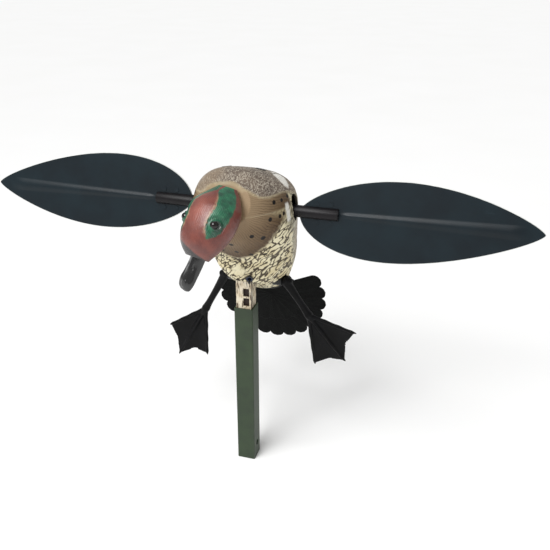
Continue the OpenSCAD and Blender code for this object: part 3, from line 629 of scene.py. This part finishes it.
def make_materials():
    """Every material, by the slot name it goes by."""
    return {
        "body_paint": body_paint(),
        "head_paint": head_paint(),
        "bill_gloss": plastic(
            "bill_gloss", (8, 8, 9), (5, 5, 6), (0.14, 0.26), 1.6, 0.08, coat=0.5, coat_rough=0.1
        ),
        "eye_gloss": eye_paint(),
        "tail_black": tail_paint(),
        "screw_steel": metal("screw_steel", (176, 174, 170), (0.25, 0.4)),
        "spigot_cream": spigot_paint(),
        "frame_grey": plastic("frame_grey", (96, 98, 98), (80, 82, 83), (0.45, 0.65)),
        "bush_bronze": metal("bush_bronze", (190, 140, 78), (0.28, 0.42), (1, 1, 1)),
        "motor_steel": metal("motor_steel", (190, 190, 188), (0.18, 0.34), (14, 1, 1)),
        "cap_ivory": plastic("cap_ivory", (222, 214, 190), (206, 196, 170)),
        "cell_blue": cell_paint(),
        "contact_nickel": metal("contact_nickel", (205, 200, 190), (0.16, 0.3), (1, 1, 6)),
        "switch_blue": plastic("switch_blue", (24, 48, 88), (18, 38, 72)),
        "lead_red": plastic("lead_red", (168, 28, 24), (132, 18, 18), (0.3, 0.45)),
        "trim_black": plastic("trim_black", (24, 24, 25), (34, 34, 35), (0.35, 0.55)),
        "nylon_white": plastic("nylon_white", (226, 224, 216), (208, 205, 194), (0.4, 0.55)),
        "shaft_steel": metal("shaft_steel", (180, 182, 184), (0.14, 0.3), (14, 1, 1)),
        "wing_slate": wing_paint(),
        "hub_black": plastic(
            "hub_black", (13, 11, 14), (20, 17, 20), (0.34, 0.5), 1.0, 0.08, specular=0.25
        ),
        "rivet_slate": plastic("rivet_slate", (18, 30, 36), (13, 25, 31), (0.4, 0.55), specular=0.25),
        "leg_rubber": rubber_paint(),
        "pole_green": plastic(
            "pole_green", (39, 56, 31), (32, 47, 27), (0.45, 0.6), 1.4, 0.1, coat=0.08, coat_rough=0.35
        ),
    }


# ---------- body
NECK = np.array([0, -55, 18])  # the feather lines spread from here
NECK_SIDE = np.array([0, 0.302, 0.953])
SCALLOP = 15.5  # how far apart the back's rows of feathers are
# Dark spots on the breast: place across, along and up, and radius, in mm.
SPOTS = [
    (41, -34, 19, 1.6), (45, -23, 18, 1.4), (40, -42, 4, 1.6), (46, -30, 4, 1.4),
    (24, -52, -11, 1.7), (33, -44, -15, 1.9), (2, -50, -23, 1.7), (3, -38, -36, 1.7),
    (17, -33, -39, 1.6), (30, -28, -39, 1.6), (48, -24, 5, 1.3), (51, -18, 2, 1.3),
    (48, -12, 19, 1.3), (-38, -40, 12, 1.6), (-44, -30, 2, 1.5), (-30, -47, -12, 1.7),
    (-41, -34, 22, 1.4), (-20, -48, -20, 1.6), (-46, -24, 12, 1.4), (-34, -40, -20, 1.7),
    (-12, -38, -36, 1.6), (-30, -28, -38, 1.5),
]


def scallops(u, v, pitch_u, pitch_v, radius):
    """Overlapping rounded feathers over a flat sheet: their height, and how near each edge is."""
    height, edge = np.zeros(len(u)), np.full(len(u), 9.0)
    done = np.zeros(len(u), bool)
    first = np.floor(v / pitch_v).astype(int)
    for lag in range(-2, 1):
        row = first + lag
        offset = (row % 2) * 0.5
        column = np.round(u / pitch_u - offset)
        gap = np.hypot(u - (column + offset) * pitch_u, v - row * pitch_v)
        inside = (gap < radius) & ~done
        height = np.where(inside, gap / radius, height)
        edge = np.where(inside, radius - gap, edge)
        done |= inside
    return height, edge


BIB_HALF, BIB_TOP, BIB_DEEP, BIB_ROUND = 51.5, 12, 59, 1.6  # the brown breast's round edge


def back_fields(f, points, s, upper, wobble):
    """The grey-brown back and its finer mantle."""
    x, y, z = points.T
    mantle_edge = np.interp(np.abs(x), [7, 30, 38, 44, 47], [17.5, 5.5, 8.0, 15.5, 20.0])
    top = step(-2.5, 2.5, z + 0.45 * y - mantle_edge + 2.0 * wobble)
    rear = step(-0.2, 0.15, upper + 0.06 * wobble) * step(2.6, 3.4, s)
    f["back"] = np.clip(np.maximum(top * step(-0.3, 0.1, upper), rear), 0, 1)
    f["rear"] = rear * step(2.2, 3.4, s)
    f["mantle"] = top * (0.45 + 0.55 * step(-22, 0, x + 5 * wobble)) * step(3.4, 2.4, s)


def breast_fields(f, points, upper, wobble, small):
    """The brown breast, darker towards its edge partly in its paint and partly as painted shade under its
    dome, and the feather lines that ray from the neck.
    """
    x, y, z = points.T
    out = points - NECK
    r = np.linalg.norm(out, axis=1)
    wide = (np.abs(x) / BIB_HALF) ** BIB_ROUND
    deep = (np.clip(BIB_TOP - z, 0, None) / BIB_DEEP) ** BIB_ROUND
    bib = (wide + deep) ** (1 / BIB_ROUND)
    in_bib = step(0.04, -0.04, bib - 1.0 - 0.03 * small) * step(0.2, -0.2, upper)
    shoulder = step(6, 12, z) * step(-7.5, -11.5, y + 1.2 * small)
    f["breast"] = np.clip(np.maximum(in_bib * step(14, 9, z), shoulder), 0, 1) * (1 - f["back"])
    # Darker towards the edge and along it: partly paint, partly painted shade under the breast's dome.
    f["low_breast_paint_and_shade"] = step(0.3, 1.0, bib)
    f["hem_paint_and_shade"] = step(0.82, 0.97, bib)
    f["nape"] = 0.4 * step(70, 30, r) * step(-8, 22, z)
    f["rays"] = np.arctan2(x, -(out @ NECK_SIDE)) * 92 + 3.4 * wobble + 1.5 * small
    f["ray_share"] = step(20, 34, r) * (0.6 + 0.5 * wobble)


def belly_fields(f, points, s, upper, wobble, small):
    """The cream belly's slanted strokes, its plain patch and the streaked flanks."""
    x, y, z = points.T
    across, along_stroke = 0.72 * x - 0.62 * z, 0.62 * x + 0.72 * z
    slanted = np.column_stack([across / 2.7, along_stroke / 7.5, y / 8.0])
    worm = noise_at(slanted, 1.0, 3.0) + 0.35 * noise_at(slanted * 2.1, 1.0, 7.0)
    f["flank"] = step(-0.3, -0.1, upper + 0.05 * wobble) * step(1.8, 3.0, s) * (1 - f["back"])
    plain = step(1.2, 0.7, np.hypot((x + 3) / 9, (z + 67) / 7) + 0.3 * small)
    plain = plain * step(0.2, -0.2, upper)
    f["worm"] = worm + 0.3 * plain
    f["belly"] = (1 - f["back"]) * (1 - f["breast"]) * (1 - 0.5 * f["flank"]) * (1 - 0.8 * plain)


def mark_fields(f, points, small):
    """The dark spots, the painted highlights on the shoulders and the white bars before the wings."""
    x, y, z = points.T
    spots = [np.linalg.norm(points - np.array(t[:3]), axis=1) - t[3] for t in SPOTS]
    f["spots"] = np.clip(np.min(spots, axis=0), -2, 4)
    # Painted highlight: a soft white patch high on each shoulder stands in for the lamp's shine there.
    patch = np.zeros(len(points))
    for side in (-1, 1):
        away = points - [side * 37, 1, 32]
        run = away @ np.array([side * 0.74, -0.44, -0.51])
        wide = np.sqrt(np.clip((away**2).sum(1) - run**2, 0, None))
        patch = np.maximum(patch, step(1.25, 0.85, np.hypot(run / 11, wide / 7.5) + 0.2 * small))
    bar = step(3.4, 2.4, np.abs(y + 17) + 0.4 * small) * step(15, 12, z) * step(-7, -3, z)
    # The white field holds the real white bars and the painted shoulder highlights.
    f["white"] = np.clip(0.8 * patch + 0.85 * bar * step(42, 46, np.abs(x)), 0, 1)


def body_fields(points, s, a):
    """Every number per point that the body's relief and paint need."""
    wobble, small = noise_at(points, 9), noise_at(points, 3.5, 11.0)
    upper, side = np.sin(a), np.cos(a)
    f = {"painted": np.ones(len(points))}
    back_fields(f, points, s, upper, wobble)
    breast_fields(f, points, upper, wobble, small)
    belly_fields(f, points, s, upper, wobble, small)
    height, edge = scallops(side * 62, s * SCALLOP, SCALLOP, 9.5, 12.5)
    feathered = f["back"] * step(2.2, 3.4, s)
    f["scale_edge"] = feathered * step(1.3, 0.4, edge) * 0.8
    mark_fields(f, points, small)
    f["rump"] = step(7.1, 7.4, s + 0.12 * small)
    groove = step(0.2, 0.05, np.abs(f["worm"])) * f["belly"]
    dimple = step(0.6, -0.8, f["spots"])
    f["depth"] = -0.65 * groove + 0.6 * feathered * (height - 0.5) - 0.25 * dimple
    f["depth"] = f["depth"] * step(0.0, 0.35, s) * (1 - 0.8 * f["rump"])
    return f


def outer_body():
    rings, s, a = body_rings(0, len(BODY_ROWS) - 1, 0, 290, 340)
    closed = close_ends(rings, 6)
    extra = (len(closed) - len(rings)) // 2
    s_all = np.concatenate([np.full(extra, s[0]), s, np.full(extra, s[-1])])
    s_points = np.append(np.repeat(s_all, len(a)), [s[0], s[-1]])
    a_points = np.append(np.tile(a, len(s_all)), [0, 0])
    points, faces = skin(closed)
    obj = facing_out(new_object("body_skin", points, faces))
    fields = body_fields(points, s_points, a_points)
    push(obj, fields.pop("depth"))
    for name, values in fields.items():
        set_field(obj, name, values)
    return obj


def hatch_outline(shrink, end_shrink):
    half_w, r = 31 - shrink, 14 - shrink
    y0, y1 = 21 - 60.7 + shrink, 21 + 60.7 - end_shrink
    left = circle(r, (-half_w + r, y0 + r), 17, 180, 270)
    right = circle(r, (half_w - r, y0 + r), 17, 270, 360)
    return np.vstack([left, right, [[half_w, y1], [-half_w, y1]]])


def slot_outline():
    """The shaft slot: X is along Y of the row frame, Y is up."""
    return np.vstack([circle(7.5, (0, 6), 25, 0, 180), circle(7.5, (0, -6), 25, 180, 360)])


def side_tool(outline, side, near, far):
    """A solid on an outline of y, z points, from x near to x far on one side."""
    low, high = (near, far) if side > 0 else (-far, -near)
    return prism(outline, low, high, ACROSS)


BOSS_SPOTS = ((-23, 17), (23, 17), (-23, 5), (23, 5))
BOSS_R = 4
BOSS_LOW = -118.2
BOSS_TOP = -60.55
LATCH_BOSS_R = 7
LATCH_POCKET_R = 5.35
LATCH_STEM_R = 2.35
HIP_HOLE_R = 6.25
TAIL_SCREW_AT = (12, -22)
SWITCH_HOLE_R = 3.2


def build_body(mats):
    """The hollow body and its hatch lid, both cut from one sculpted skin."""
    outer = outer_body()
    rings, _, _ = body_rings(0.055, 8.89, BODY_WALL, 60, 90)
    inner = facing_out(new_object("inner", *skin(close_ends(rings, 3))))
    for spot in BOSS_SPOTS:
        cut(inner, prism(circle(BOSS_R, spot, 32), BOSS_LOW, BOSS_TOP, Matrix()))
    lid = copy_of(outer, "hatch_cover")
    cut(lid, prism(hatch_outline(0.45, 1.2), HATCH_FLOOR, HATCH_TOP, IN_HATCH), "INTERSECT")
    cut(lid, inner, keep_tool=True)
    for side in (-1, 1):
        place = in_latch(side)
        cut(lid, prism(circle(LATCH_BOSS_R, (0, 0), 48), -3.6, -0.8, place), "UNION")
        cut(lid, prism(circle(LATCH_POCKET_R, (0, 0), 64), -1.2, 9, place))
        cut(lid, prism(circle(LATCH_STEM_R, (0, 0), 32), -15, 15, place))
    cut(outer, inner)
    cut(outer, prism(hatch_outline(0, 0), HATCH_FLOOR, HATCH_TOP, IN_HATCH))
    for side in (-1, 1):
        cut(outer, side_tool(slot_outline() + [0, 4], side, 40, 70))
        cut(outer, side_tool(circle(HIP_HOLE_R, HIP[1:], 48), side, 10, 60))
        screw_at = (side * TAIL_SCREW_AT[0], TAIL_SCREW_AT[1])
        cut(outer, prism(circle(1.5, screw_at, 24), -10, 10, IN_TAIL))
    square = np.array([(-1, -1), (1, -1), (1, 1), (-1, 1)]) * 8.85 + [0, -2.5]
    cut(outer, prism(square, -160, -60, Matrix()))
    cut(outer, prism(circle(SWITCH_HOLE_R, (0, 0), 32), -15, 15, IN_SWITCH))
    for obj, body, node in ((outer, "decoy", "body_shell"), (lid, "hatch", "hatch_lid")):
        smooth(obj, 50)
        finish_piece(obj, mats, "body_paint", body, node)


def finish_piece(obj, mats, slot, body, *nodes):
    obj.data.materials.clear()
    obj.data.materials.append(mats[slot])
    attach(obj, body)
    if nodes:
        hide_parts(*nodes)


# ---------- head
def head_fields(local, a):
    """Paint masks and relief of the head, in its own frame."""
    x, y, z = local.T
    from_crown = np.abs((np.degrees(a) - 90 + 180) % 360 - 180)
    wobble, small = noise_at(local, 7), noise_at(local, 2.6, 5.0)
    rough_crown = from_crown + 3.0 * small
    back = -x
    low_edge = np.interp(
        back, [11, 17, 21, 25, 33, 41, 50, 58, 63, 68], [30, 46, 60, 66, 70, 72, 78, 79, 75, 62]
    )
    top_edge = np.interp(
        back, [11, 18, 25, 32, 41, 47, 55, 60, 63, 68], [48, 37, 29, 27, 30, 32, 26, 12, 4, 9]
    )
    inside = np.minimum(low_edge - rough_crown, rough_crown - top_edge)
    f = {"green": step(-2.2, 2.2, inside) * step(14, 17, back + small)}
    # Painted highlight along the green patch's upper edge.
    edge = bell(rough_crown - top_edge + 1.0, 3.0)
    f["pale"] = 0.8 * edge * step(16, 22, back) * step(62, 54, back) * (0.55 + 0.45 * small)
    f["dark"] = step(-1.2, 1.2, x + 2.5 - 0.4 * y + 0.6 * wobble)
    # Painted highlight on the crown.
    f["crown"] = bell(np.hypot((back - 38) / 14, from_crown / 26), 1.0) * (0.8 + 0.2 * wobble)
    eye = np.linalg.norm(np.column_stack([x - EYE_AT[0], np.abs(y) - EYE_SURFACE, z - EYE_AT[2]]), axis=1)
    f["lid"] = step(5.2, 3.6, eye)
    f["barbs"] = from_crown * 1.6 + 5 * wobble
    socket = -1.1 * bell(eye - 7.0, 2.2) * step(3.5, 6, eye)
    brow = 0.9 * bell(np.hypot(x + 28, from_crown - 36) / 8, 1.0)
    cheek = 0.8 * bell(np.hypot((x + 27) / 13, (from_crown - 92) / 26), 1.0)
    f["depth"] = socket + 0.85 * bell(eye - 4.3, 1.0) + brow + cheek + 0.22 * wobble
    f["depth"] = f["depth"] * step(-0.5, -5, x) * step(66, 58, back)
    return f


def build_head(mats):
    rings, s, a = head_rings(HEAD_ROWS, 0, len(HEAD_ROWS) - 1, 0, 190, 220)
    closed = close_ends(rings, 6)
    points, faces = skin(closed)
    angles = np.append(np.tile(a, len(closed)), [0, 0])
    obj = facing_out(new_object("head_skin", placed(points, IN_HEAD), faces))
    fields = head_fields(points, angles)
    push(obj, fields.pop("depth"))
    for name, values in fields.items():
        set_field(obj, name, values)
    front, _, _ = body_rings(0, 2.2, -0.3, 60, 120)
    cut(obj, facing_out(new_object("tool", *skin(close_ends(front, 3)))))
    smooth(obj, 50)
    finish_piece(obj, mats, "head_paint", "decoy", "head")


def build_bill(mats):
    """A spatulate bill with a nail, nostrils, a ridge and the line between its halves."""
    rings, s, a = head_rings(BILL_ROWS, 0, len(BILL_ROWS) - 1, 0, 150, 140)
    closed = close_ends(rings, 6)
    points, faces = skin(closed)
    angles = np.append(np.tile(a, len(closed)), [0, 0])
    x, y, z = points.T
    upper = np.sin(angles)
    obj = facing_out(new_object("bill_skin", placed(points, IN_BILL), faces))
    ridge = 0.7 * bell(y, 2.4) * step(26, 14, x) * step(0.2, 0.8, upper)
    hollow = -0.55 * bell(np.abs(y) - 5.0, 1.8) * step(4, 12, x) * step(29, 22, x) * step(0.2, 0.7, upper)
    nail = 0.5 * step(3.6, 2.4, np.hypot(y, (x - 30) * 0.8)) * step(0.0, 0.6, upper)
    slit = np.hypot((x - 11.5) / 2.6, (np.abs(y) - 3.6) / 0.9)
    nostril = -0.9 * step(1.25, 0.7, slit) * step(0.2, 0.7, upper)
    gape = -0.6 * bell((upper + 0.32) / 0.09, 1.0) * step(31, 27, x)
    comb = 0.12 * np.sin(x * 5.2) * bell((upper + 0.2) / 0.16, 1.0) * step(28, 24, x)
    lip = 0.35 * bell((upper + 0.12) / 0.12, 1.0)
    push(obj, ridge + hollow + nail + nostril + gape + comb + lip)
    smooth(obj, 60)
    finish_piece(obj, mats, "bill_gloss", "decoy", "bill")


def build_eyes(mats):
    """Two glass eyes, each a little fuller over its pupil."""
    parts, faces, pupil = [], [], []
    for side in (-1, 1):
        around = 2 * np.pi * np.arange(40) / 40
        tilt = np.radians(np.linspace(4, 176, 44))
        radius = EYE_R + 0.2 * bell(np.degrees(tilt) / 24, 1.0)
        ring = np.stack(
            [
                np.outer(radius * np.sin(tilt), np.cos(around)),
                side * np.repeat((radius * np.cos(tilt))[:, None], 40, 1),
                np.outer(radius * np.sin(tilt), np.sin(around)),
            ],
            -1,
        )
        at = np.array([EYE_AT[0], side * EYE_AT[1], EYE_AT[2]])
        points, made = skin(ring + at, flip=side < 0)
        start = sum(len(q) for q in parts)
        faces += [[start + i for i in f] for f in made]
        parts.append(points)
        pupil.append(np.hypot(points[:, 0] - at[0], points[:, 2] - at[2]))
    obj = new_object("eye_pair", placed(np.vstack(parts), IN_HEAD), faces)
    set_field(obj, "pupil_mm", np.concatenate(pupil))
    smooth(obj, 80)
    finish_piece(obj, mats, "eye_gloss", "decoy", "eyes")


# ---------- tail
FEATHERS = 15
FAN_START = -25
FAN_PITCH = 16
ROOT_START = 213  # where the short feathers take over from the fan


def feather(length, start, width, thick, lift, angle, dome):
    """One feather of the fan, pointing out at an angle: its skin and its barb phase."""
    n, m = 56, 22
    t = np.linspace(0, 1, n)
    r = start + (length - start) * t
    tip = width / 2
    past = np.clip((r - (length - tip)) / tip, 0, 1)
    half = tip * np.sqrt(np.clip(1 - past**2.2, 0.0004, 1)) * (0.62 + 0.38 * step(0, 0.5, t))
    v = np.sin(np.linspace(-np.pi / 2, np.pi / 2, m))
    across = half[:, None] * v[None]
    body = thick / 2 * np.sqrt(np.clip(1 - np.abs(v) ** 6, 0, 1))[None]
    body = body * np.sqrt(np.clip(1 - past[:, None] ** 8, 0.02, 1))
    shaft = 0.55 * np.exp(-((across / 0.9) ** 2)) * (1 - t[:, None]) ** 0.4
    z = lift + dome * (1 - v[None] ** 2)
    top = np.stack([np.repeat(r[:, None], m, 1), across, z + body + shaft], -1)
    low = np.stack([np.repeat(r[:, None], m, 1), across, z - body - shaft * 0.8], -1)
    ring = np.concatenate([top, low[:, -2:0:-1]], 1)
    barb = np.concatenate([across, across[:, -2:0:-1]], 1)
    phase = (np.repeat(r[:, None], ring.shape[1], 1) + 1.3 * np.abs(barb)) * 4.2
    c, s = math.cos(math.radians(angle)), math.sin(math.radians(angle))
    points, faces = skin(ring)
    spun = points @ np.array([[c, s, 0], [-s, c, 0], [0, 0, 1]])
    return spun, faces, np.append(phase.ravel(), [phase[0, 0], phase[-1, 0]])


def build_tail(mats):
    """A fan of layered feathers, coverts on both faces, and short feathers that close its root."""
    parts, faces, phases = [], [], []

    def keep(made):
        start = sum(len(q) for q in parts)
        parts.append(made[0])
        faces.extend([[start + i for i in f] for f in made[1]])
        phases.append(made[2])

    for i in range(FEATHERS):
        from_middle = abs(i - FEATHERS // 2)
        lift = 1.35 - 0.1 * from_middle + 0.05 * (i % 2)
        keep(feather(69, 0.5, 18.8, 1.25, lift, FAN_START + FAN_PITCH * i, 0.25))
    for i in range(11):
        angle = -19 + 21.2 * i
        keep(feather(45 + 2 * math.sin(i * 1.9), 0.5, 19, 1.2, 2.0 - 0.05 * abs(i - 5), angle, 0.5))
        keep(feather(43 + 2 * math.sin(i * 2.3), 0.5, 19, 1.2, 0.75 + 0.04 * abs(i - 5), angle, -0.3))
    for i in range(8):
        lift = 1.3 + 0.05 * (i % 2)
        keep(feather(38, 0.5, 18.8, 1.25, lift, ROOT_START + FAN_PITCH * i, 0.25))
    obj = new_object("tail_feathers", placed(np.vstack(parts), IN_TAIL), faces)
    set_field(obj, "barbs", np.concatenate(phases))
    smooth(obj, 40)
    finish_piece(obj, mats, "tail_black", "decoy", "tail_fan")


# ---------- wings
ROOT, TIP = 58, 293
HUB_R, HUB_END = 6.25, 98.1  # the hub tube fits through the blade this far out


def blade_half(u, most, peak):
    return most * np.sin(np.pi * u ** (math.log(0.5) / math.log(peak))) ** 0.72


def blade_grid(side):
    """Rows of points across the blade, as x and y, and how far each is from the outline."""
    slim, full = (38.5, 0.45), (43.5, 0.36)
    up, down = (slim, full) if side > 0 else (full, slim)
    u = 0.5 - 0.5 * np.cos(np.pi * np.linspace(0.02, 0.985, 200))
    x = ROOT + (TIP - ROOT) * u
    root_half = 6 * step(0.05, 0.0, u)
    inner = np.linspace(-1, 1, 61)
    rim = np.array([0.0, 0.12, 0.3, 0.55, 0.9, 1.4])
    rows, edges = [], []
    for top, low in zip(
        np.maximum(blade_half(u, *up), root_half), np.maximum(blade_half(u, *down), root_half)
    ):
        scale = min(1.0, (top + low) / 12)
        mids = (top - low) / 2 + inner * ((top + low) / 2 - 2.2 * scale)
        y = np.concatenate([-low + rim * scale, mids, top - rim[::-1] * scale])
        rows.append(y)
        edges.append(np.minimum(y + low, top - y))
    x = np.repeat(x[:, None], len(rows[0]), 1)
    return x, np.array(rows), np.minimum(np.array(edges), np.maximum(TIP - x, 0))


def build_wing(mats, side):
    """A thin blade with a raised tapered rib on its front and a soft rim."""
    x, y, edge = blade_grid(side)
    thick = np.sqrt(np.clip(1 - np.clip(1 - edge, 0, 1) ** 2, 0, 1))
    wide = np.interp(x, [99, 272], [2.6, 7.5])
    tall = 1.5 * step(97, 110, x) * step(280, 262, x)
    rib = tall * np.clip(1 - (y / wide) ** 2, 0, 1) ** 1.3
    front = np.stack([x, y, -thick - rib], -1)
    back = np.stack([x, y, thick], -1)
    points, faces = skin(np.concatenate([front, back[:, -2:0:-1]], 1))
    behind = np.concatenate([np.zeros_like(y), np.ones_like(y[:, 1:-1])], 1)
    near = np.clip(4 - np.concatenate([edge, edge[:, -2:0:-1]], 1), 0, 4)
    name = "left" if side > 0 else "right"
    matrix = IN_BLADE if side > 0 else MIRROR @ IN_BLADE
    obj = facing_out(new_object(name + "_blade_skin", placed(points, matrix), faces))
    set_field(obj, "behind", np.append(behind.ravel(), [0, 0]))
    set_field(obj, "near_edge", np.append(near.ravel(), [4, 4]))
    cut(obj, side_tool(circle(HUB_R), side, 0, HUB_END))
    smooth(obj, 40)
    finish_piece(obj, mats, "wing_slate", name + "_wing", name + "_wing_blade")


# ---------- legs
HIP = np.array([31.5, 31, -94.5])
# Each foot is flat: its ankle, its tilt, its outer, middle and inner toe in its own plane, and
# how far each web's free edge is hollowed.
FEET = {
    1: ([60.8, 37, -137.2], 10, [(53, -16.8), (41.9, -59.5), (6.4, -70.6)], (0.12, 0.075)),
    -1: ([63.5, 35, -145.7], 3, [(47.3, -29.6), (39.3, -70.3), (2.2, -64.5)], (0.06, 0.14)),
}


def web_between(ankle, a, b, hollow, normal):
    """A sheet of web between two toes, hollow along its free edge and sagging a little."""
    p = np.linspace(0.02, 1, 40)
    q = np.linspace(0, 1, 30)
    reach = p[:, None] * (1 - hollow * np.sin(np.pi * q) ** 0.6)[None]
    toward = (1 - q)[None, :, None] * (a - ankle) + q[None, :, None] * (b - ankle)
    sheet = ankle[None, None] + reach[..., None] * toward
    sag = 1.6 * np.sin(np.pi * q)[None] * np.sin(np.pi * p * 0.6)[:, None]
    front = sheet + (sag - 0.8)[..., None] * normal
    back = sheet + (sag + 0.8)[..., None] * normal
    return np.concatenate([front, back[:, ::-1]], 1)


def toe_solids(ankle, toe, normal):
    """A toe with three knuckles and a claw."""
    line = toe - ankle
    unit = line / np.linalg.norm(line)
    spots = [ankle + line * k - normal * 0.5 for k in (0, 0.2, 0.36, 0.52, 0.66, 0.8, 0.95)]
    claw = [toe - unit * 5, toe - unit * 1.5 - normal * 0.4, toe + unit * 2.2 + normal * 0.3]
    return [
        tube(spots, [3.2, 2.1, 2.4, 1.8, 2.1, 1.6, 1.9]),
        tube(claw, [1.7, 1.5, 0.6]),
    ]


def joined(solids, matrix):
    """The points and outward faces of several closed grids of rings."""
    points, faces, start = [], [], 0
    for rings in solids:
        made, some = skin(rings)
        one = facing_out(new_object("part", placed(made, matrix), some))
        faces += [[start + i for i in p.vertices] for p in one.data.polygons]
        points.append(places_of(one) / MM - WING)
        start += len(made)
        bpy.data.objects.remove(one)
    return np.vstack(points), faces


def build_leg(mats, side):
    """One soft leg: a hip knob, a tapering shank, three knuckled toes, claws and webs."""
    ankle, tilt, flat, hollows = FEET[side]
    ankle = np.array(ankle, float)
    down = np.array([0, -math.sin(math.radians(tilt)), math.cos(math.radians(tilt))])
    normal = np.array([0, math.cos(math.radians(tilt)), math.sin(math.radians(tilt))])
    toes = [ankle + [x, 0, 0] + z * down for x, z in flat]
    knee = HIP + [4.5, 0, -1.5]
    shank = ankle - knee
    solids = [
        tube([HIP - [11, 0, 0], HIP - [5, 0, 0], HIP + [2, 0, 0]], [4, 4, 4]),
        tube([HIP + [1, 0, 0], HIP + [4.5, 0, 0], HIP + [7.5, 0, -0.5]], [5.2, 5.8, 4.2]),
        tube([knee + shank * k for k in (0, 0.3, 0.65, 0.9, 1)], [5.4, 4.4, 3.9, 4.3, 5.0]),
        tube([ankle - shank * 0.06, ankle, ankle + (toes[1] - ankle) * 0.08], [4.6, 5.0, 3.8]),
    ]
    for toe in toes:
        solids += toe_solids(ankle, toe, normal)
    solids.append(web_between(ankle, toes[0], toes[1], hollows[0], normal))
    solids.append(web_between(ankle, toes[1], toes[2], hollows[1], normal))
    points, faces = joined(solids, Matrix() if side > 0 else MIRROR)
    name = "left" if side > 0 else "right"
    obj = new_object(name + "_foot_rubber", points, faces)
    fuse = obj.modifiers.new("fuse", "REMESH")
    fuse.mode, fuse.voxel_size = "VOXEL", 0.55 * MM
    soft = obj.modifiers.new("soft", "SMOOTH")
    soft.factor, soft.iterations = 0.5, 6
    baked(obj)
    smooth(obj, 80)
    finish_piece(obj, mats, "leg_rubber", name + "_foot", name + "_leg")


# ---------- CAD nodes that stay
# The CAD nodes that each material finishes.
NODE_FINISH = {
    "pole_green": ("pole_tube",),
    "trim_black": (
        "tail_screws", "battery_tray", "switch_nut", "hip_socket_left", "hip_socket_right",
        "body_hinge_leaf", "lid_hinge_leaf", "hatch_latch_left", "hatch_latch_right",
        "switch_lever",
    ),
    "spigot_cream": ("spigot",),
    "screw_steel": ("spigot_screws", "frame_screws", "motor_screws"),
    "frame_grey": ("motor_frame",),
    "bush_bronze": ("shaft_bush_left", "shaft_bush_right"),
    "motor_steel": ("motor_can", "shaft_collars"),
    "cap_ivory": ("motor_end_cap",),
    "cell_blue": ("battery_cells",),
    "contact_nickel": ("contact_plates", "contact_springs"),
    "switch_blue": ("switch_body",),
    "lead_red": ("leads",),
    "shaft_steel": ("hinge_pin", "wing_shaft", "drive_pins", "motor_shaft"),
    "nylon_white": ("drive_gear", "pinion"),
    "hub_black": ("left_wing_hub", "right_wing_hub"),
    "rivet_slate": ("left_wing_rivets", "right_wing_rivets"),
}
# How far the edges of the plain nodes in view are eased, in mm.
EASED = {"pole_tube": 0.5, "spigot": 0.35, "left_wing_hub": 0.5, "right_wing_hub": 0.5}


def finish_nodes(mats):
    """Better materials on the CAD nodes that stay, and eased edges on the plain ones in view."""
    for slot, names in NODE_FINISH.items():
        for name in names:
            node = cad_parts[name]
            node.data.materials.clear()
            node.data.materials.append(mats[slot])
    for name, width in EASED.items():
        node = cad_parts[name]
        node.modifiers.new("weld", "WELD").merge_threshold = 0.01 * MM
        ease = node.modifiers.new("ease", "BEVEL")
        ease.width, ease.segments = width * MM, 3
        ease.limit_method, ease.angle_limit = "ANGLE", math.radians(40)
        ease.harden_normals = True


# ---------- stage
def build_camera():
    camera = bpy.data.objects.new("camera", bpy.data.cameras.new("camera"))
    bpy.context.scene.collection.objects.link(camera)
    across, up = Vector((0.9593, 0.2825, 0)), Vector((-0.1194, 0.4054, 0.9063))
    back = across.cross(up)
    turned = Matrix((across, up, back)).transposed().to_4x4()
    camera.matrix_world = Matrix.Translation((0.2223, -0.6436, 0.5552)) @ turned
    camera.data.sensor_width = 36
    camera.data.lens = 45.76
    camera.data.clip_start, camera.data.clip_end = 0.02, 60
    bpy.context.scene.camera = camera


def light(name, kind, energy, direction, **settings):
    lamp = bpy.data.objects.new(name, bpy.data.lights.new(name, kind))
    lamp.data.energy = energy
    for key, value in settings.items():
        setattr(lamp.data, key, value)
    towards = Vector(direction).normalized()
    lamp.location = Vector((0, 0, 0.3)) - towards * 1.4
    lamp.rotation_mode = "QUATERNION"
    lamp.rotation_quaternion = towards.to_track_quat("-Z", "Y")
    bpy.context.scene.collection.objects.link(lamp)


def build_stage():
    """A pale floor that fills the view, a bright even sky and one soft lamp."""
    half = 25.0
    mesh = bpy.data.meshes.new("floor")
    corners = [(-half, -half, 0), (half, -half, 0), (half, half, 0), (-half, half, 0)]
    mesh.from_pydata(corners, [], [(0, 1, 2, 3)])
    floor = bpy.data.objects.new("floor", mesh)
    bpy.context.scene.collection.objects.link(floor)
    p = Paint("floor_white", rough=0.9, specular=0.0)
    p.colour(p.mix(p.noise(300, 2), srgb(248, 248, 248), srgb(244, 244, 243)))
    mesh.materials.append(p.mat)
    world = bpy.data.worlds.new("sky")
    world.use_nodes = True
    world.node_tree.nodes["Background"].inputs[0].default_value = (1, 1, 1, 1)
    world.node_tree.nodes["Background"].inputs[1].default_value = 0.5
    bpy.context.scene.world = world
    light("key", "SUN", 2.0, (0.35, 0.6, -1.0), angle=math.radians(40))
    light("window", "AREA", 9.0, (0.25, 0.9, -0.75), shape="RECTANGLE", size=0.7, size_y=0.5)
    bpy.context.scene.view_settings.view_transform = "Standard"


build_camera()
MATS = make_materials()
build_body(MATS)
build_head(MATS)
build_bill(MATS)
build_eyes(MATS)
build_tail(MATS)
for SIDE in (1, -1):
    build_wing(MATS, SIDE)
    build_leg(MATS, SIDE)
finish_nodes(MATS)
build_stage()
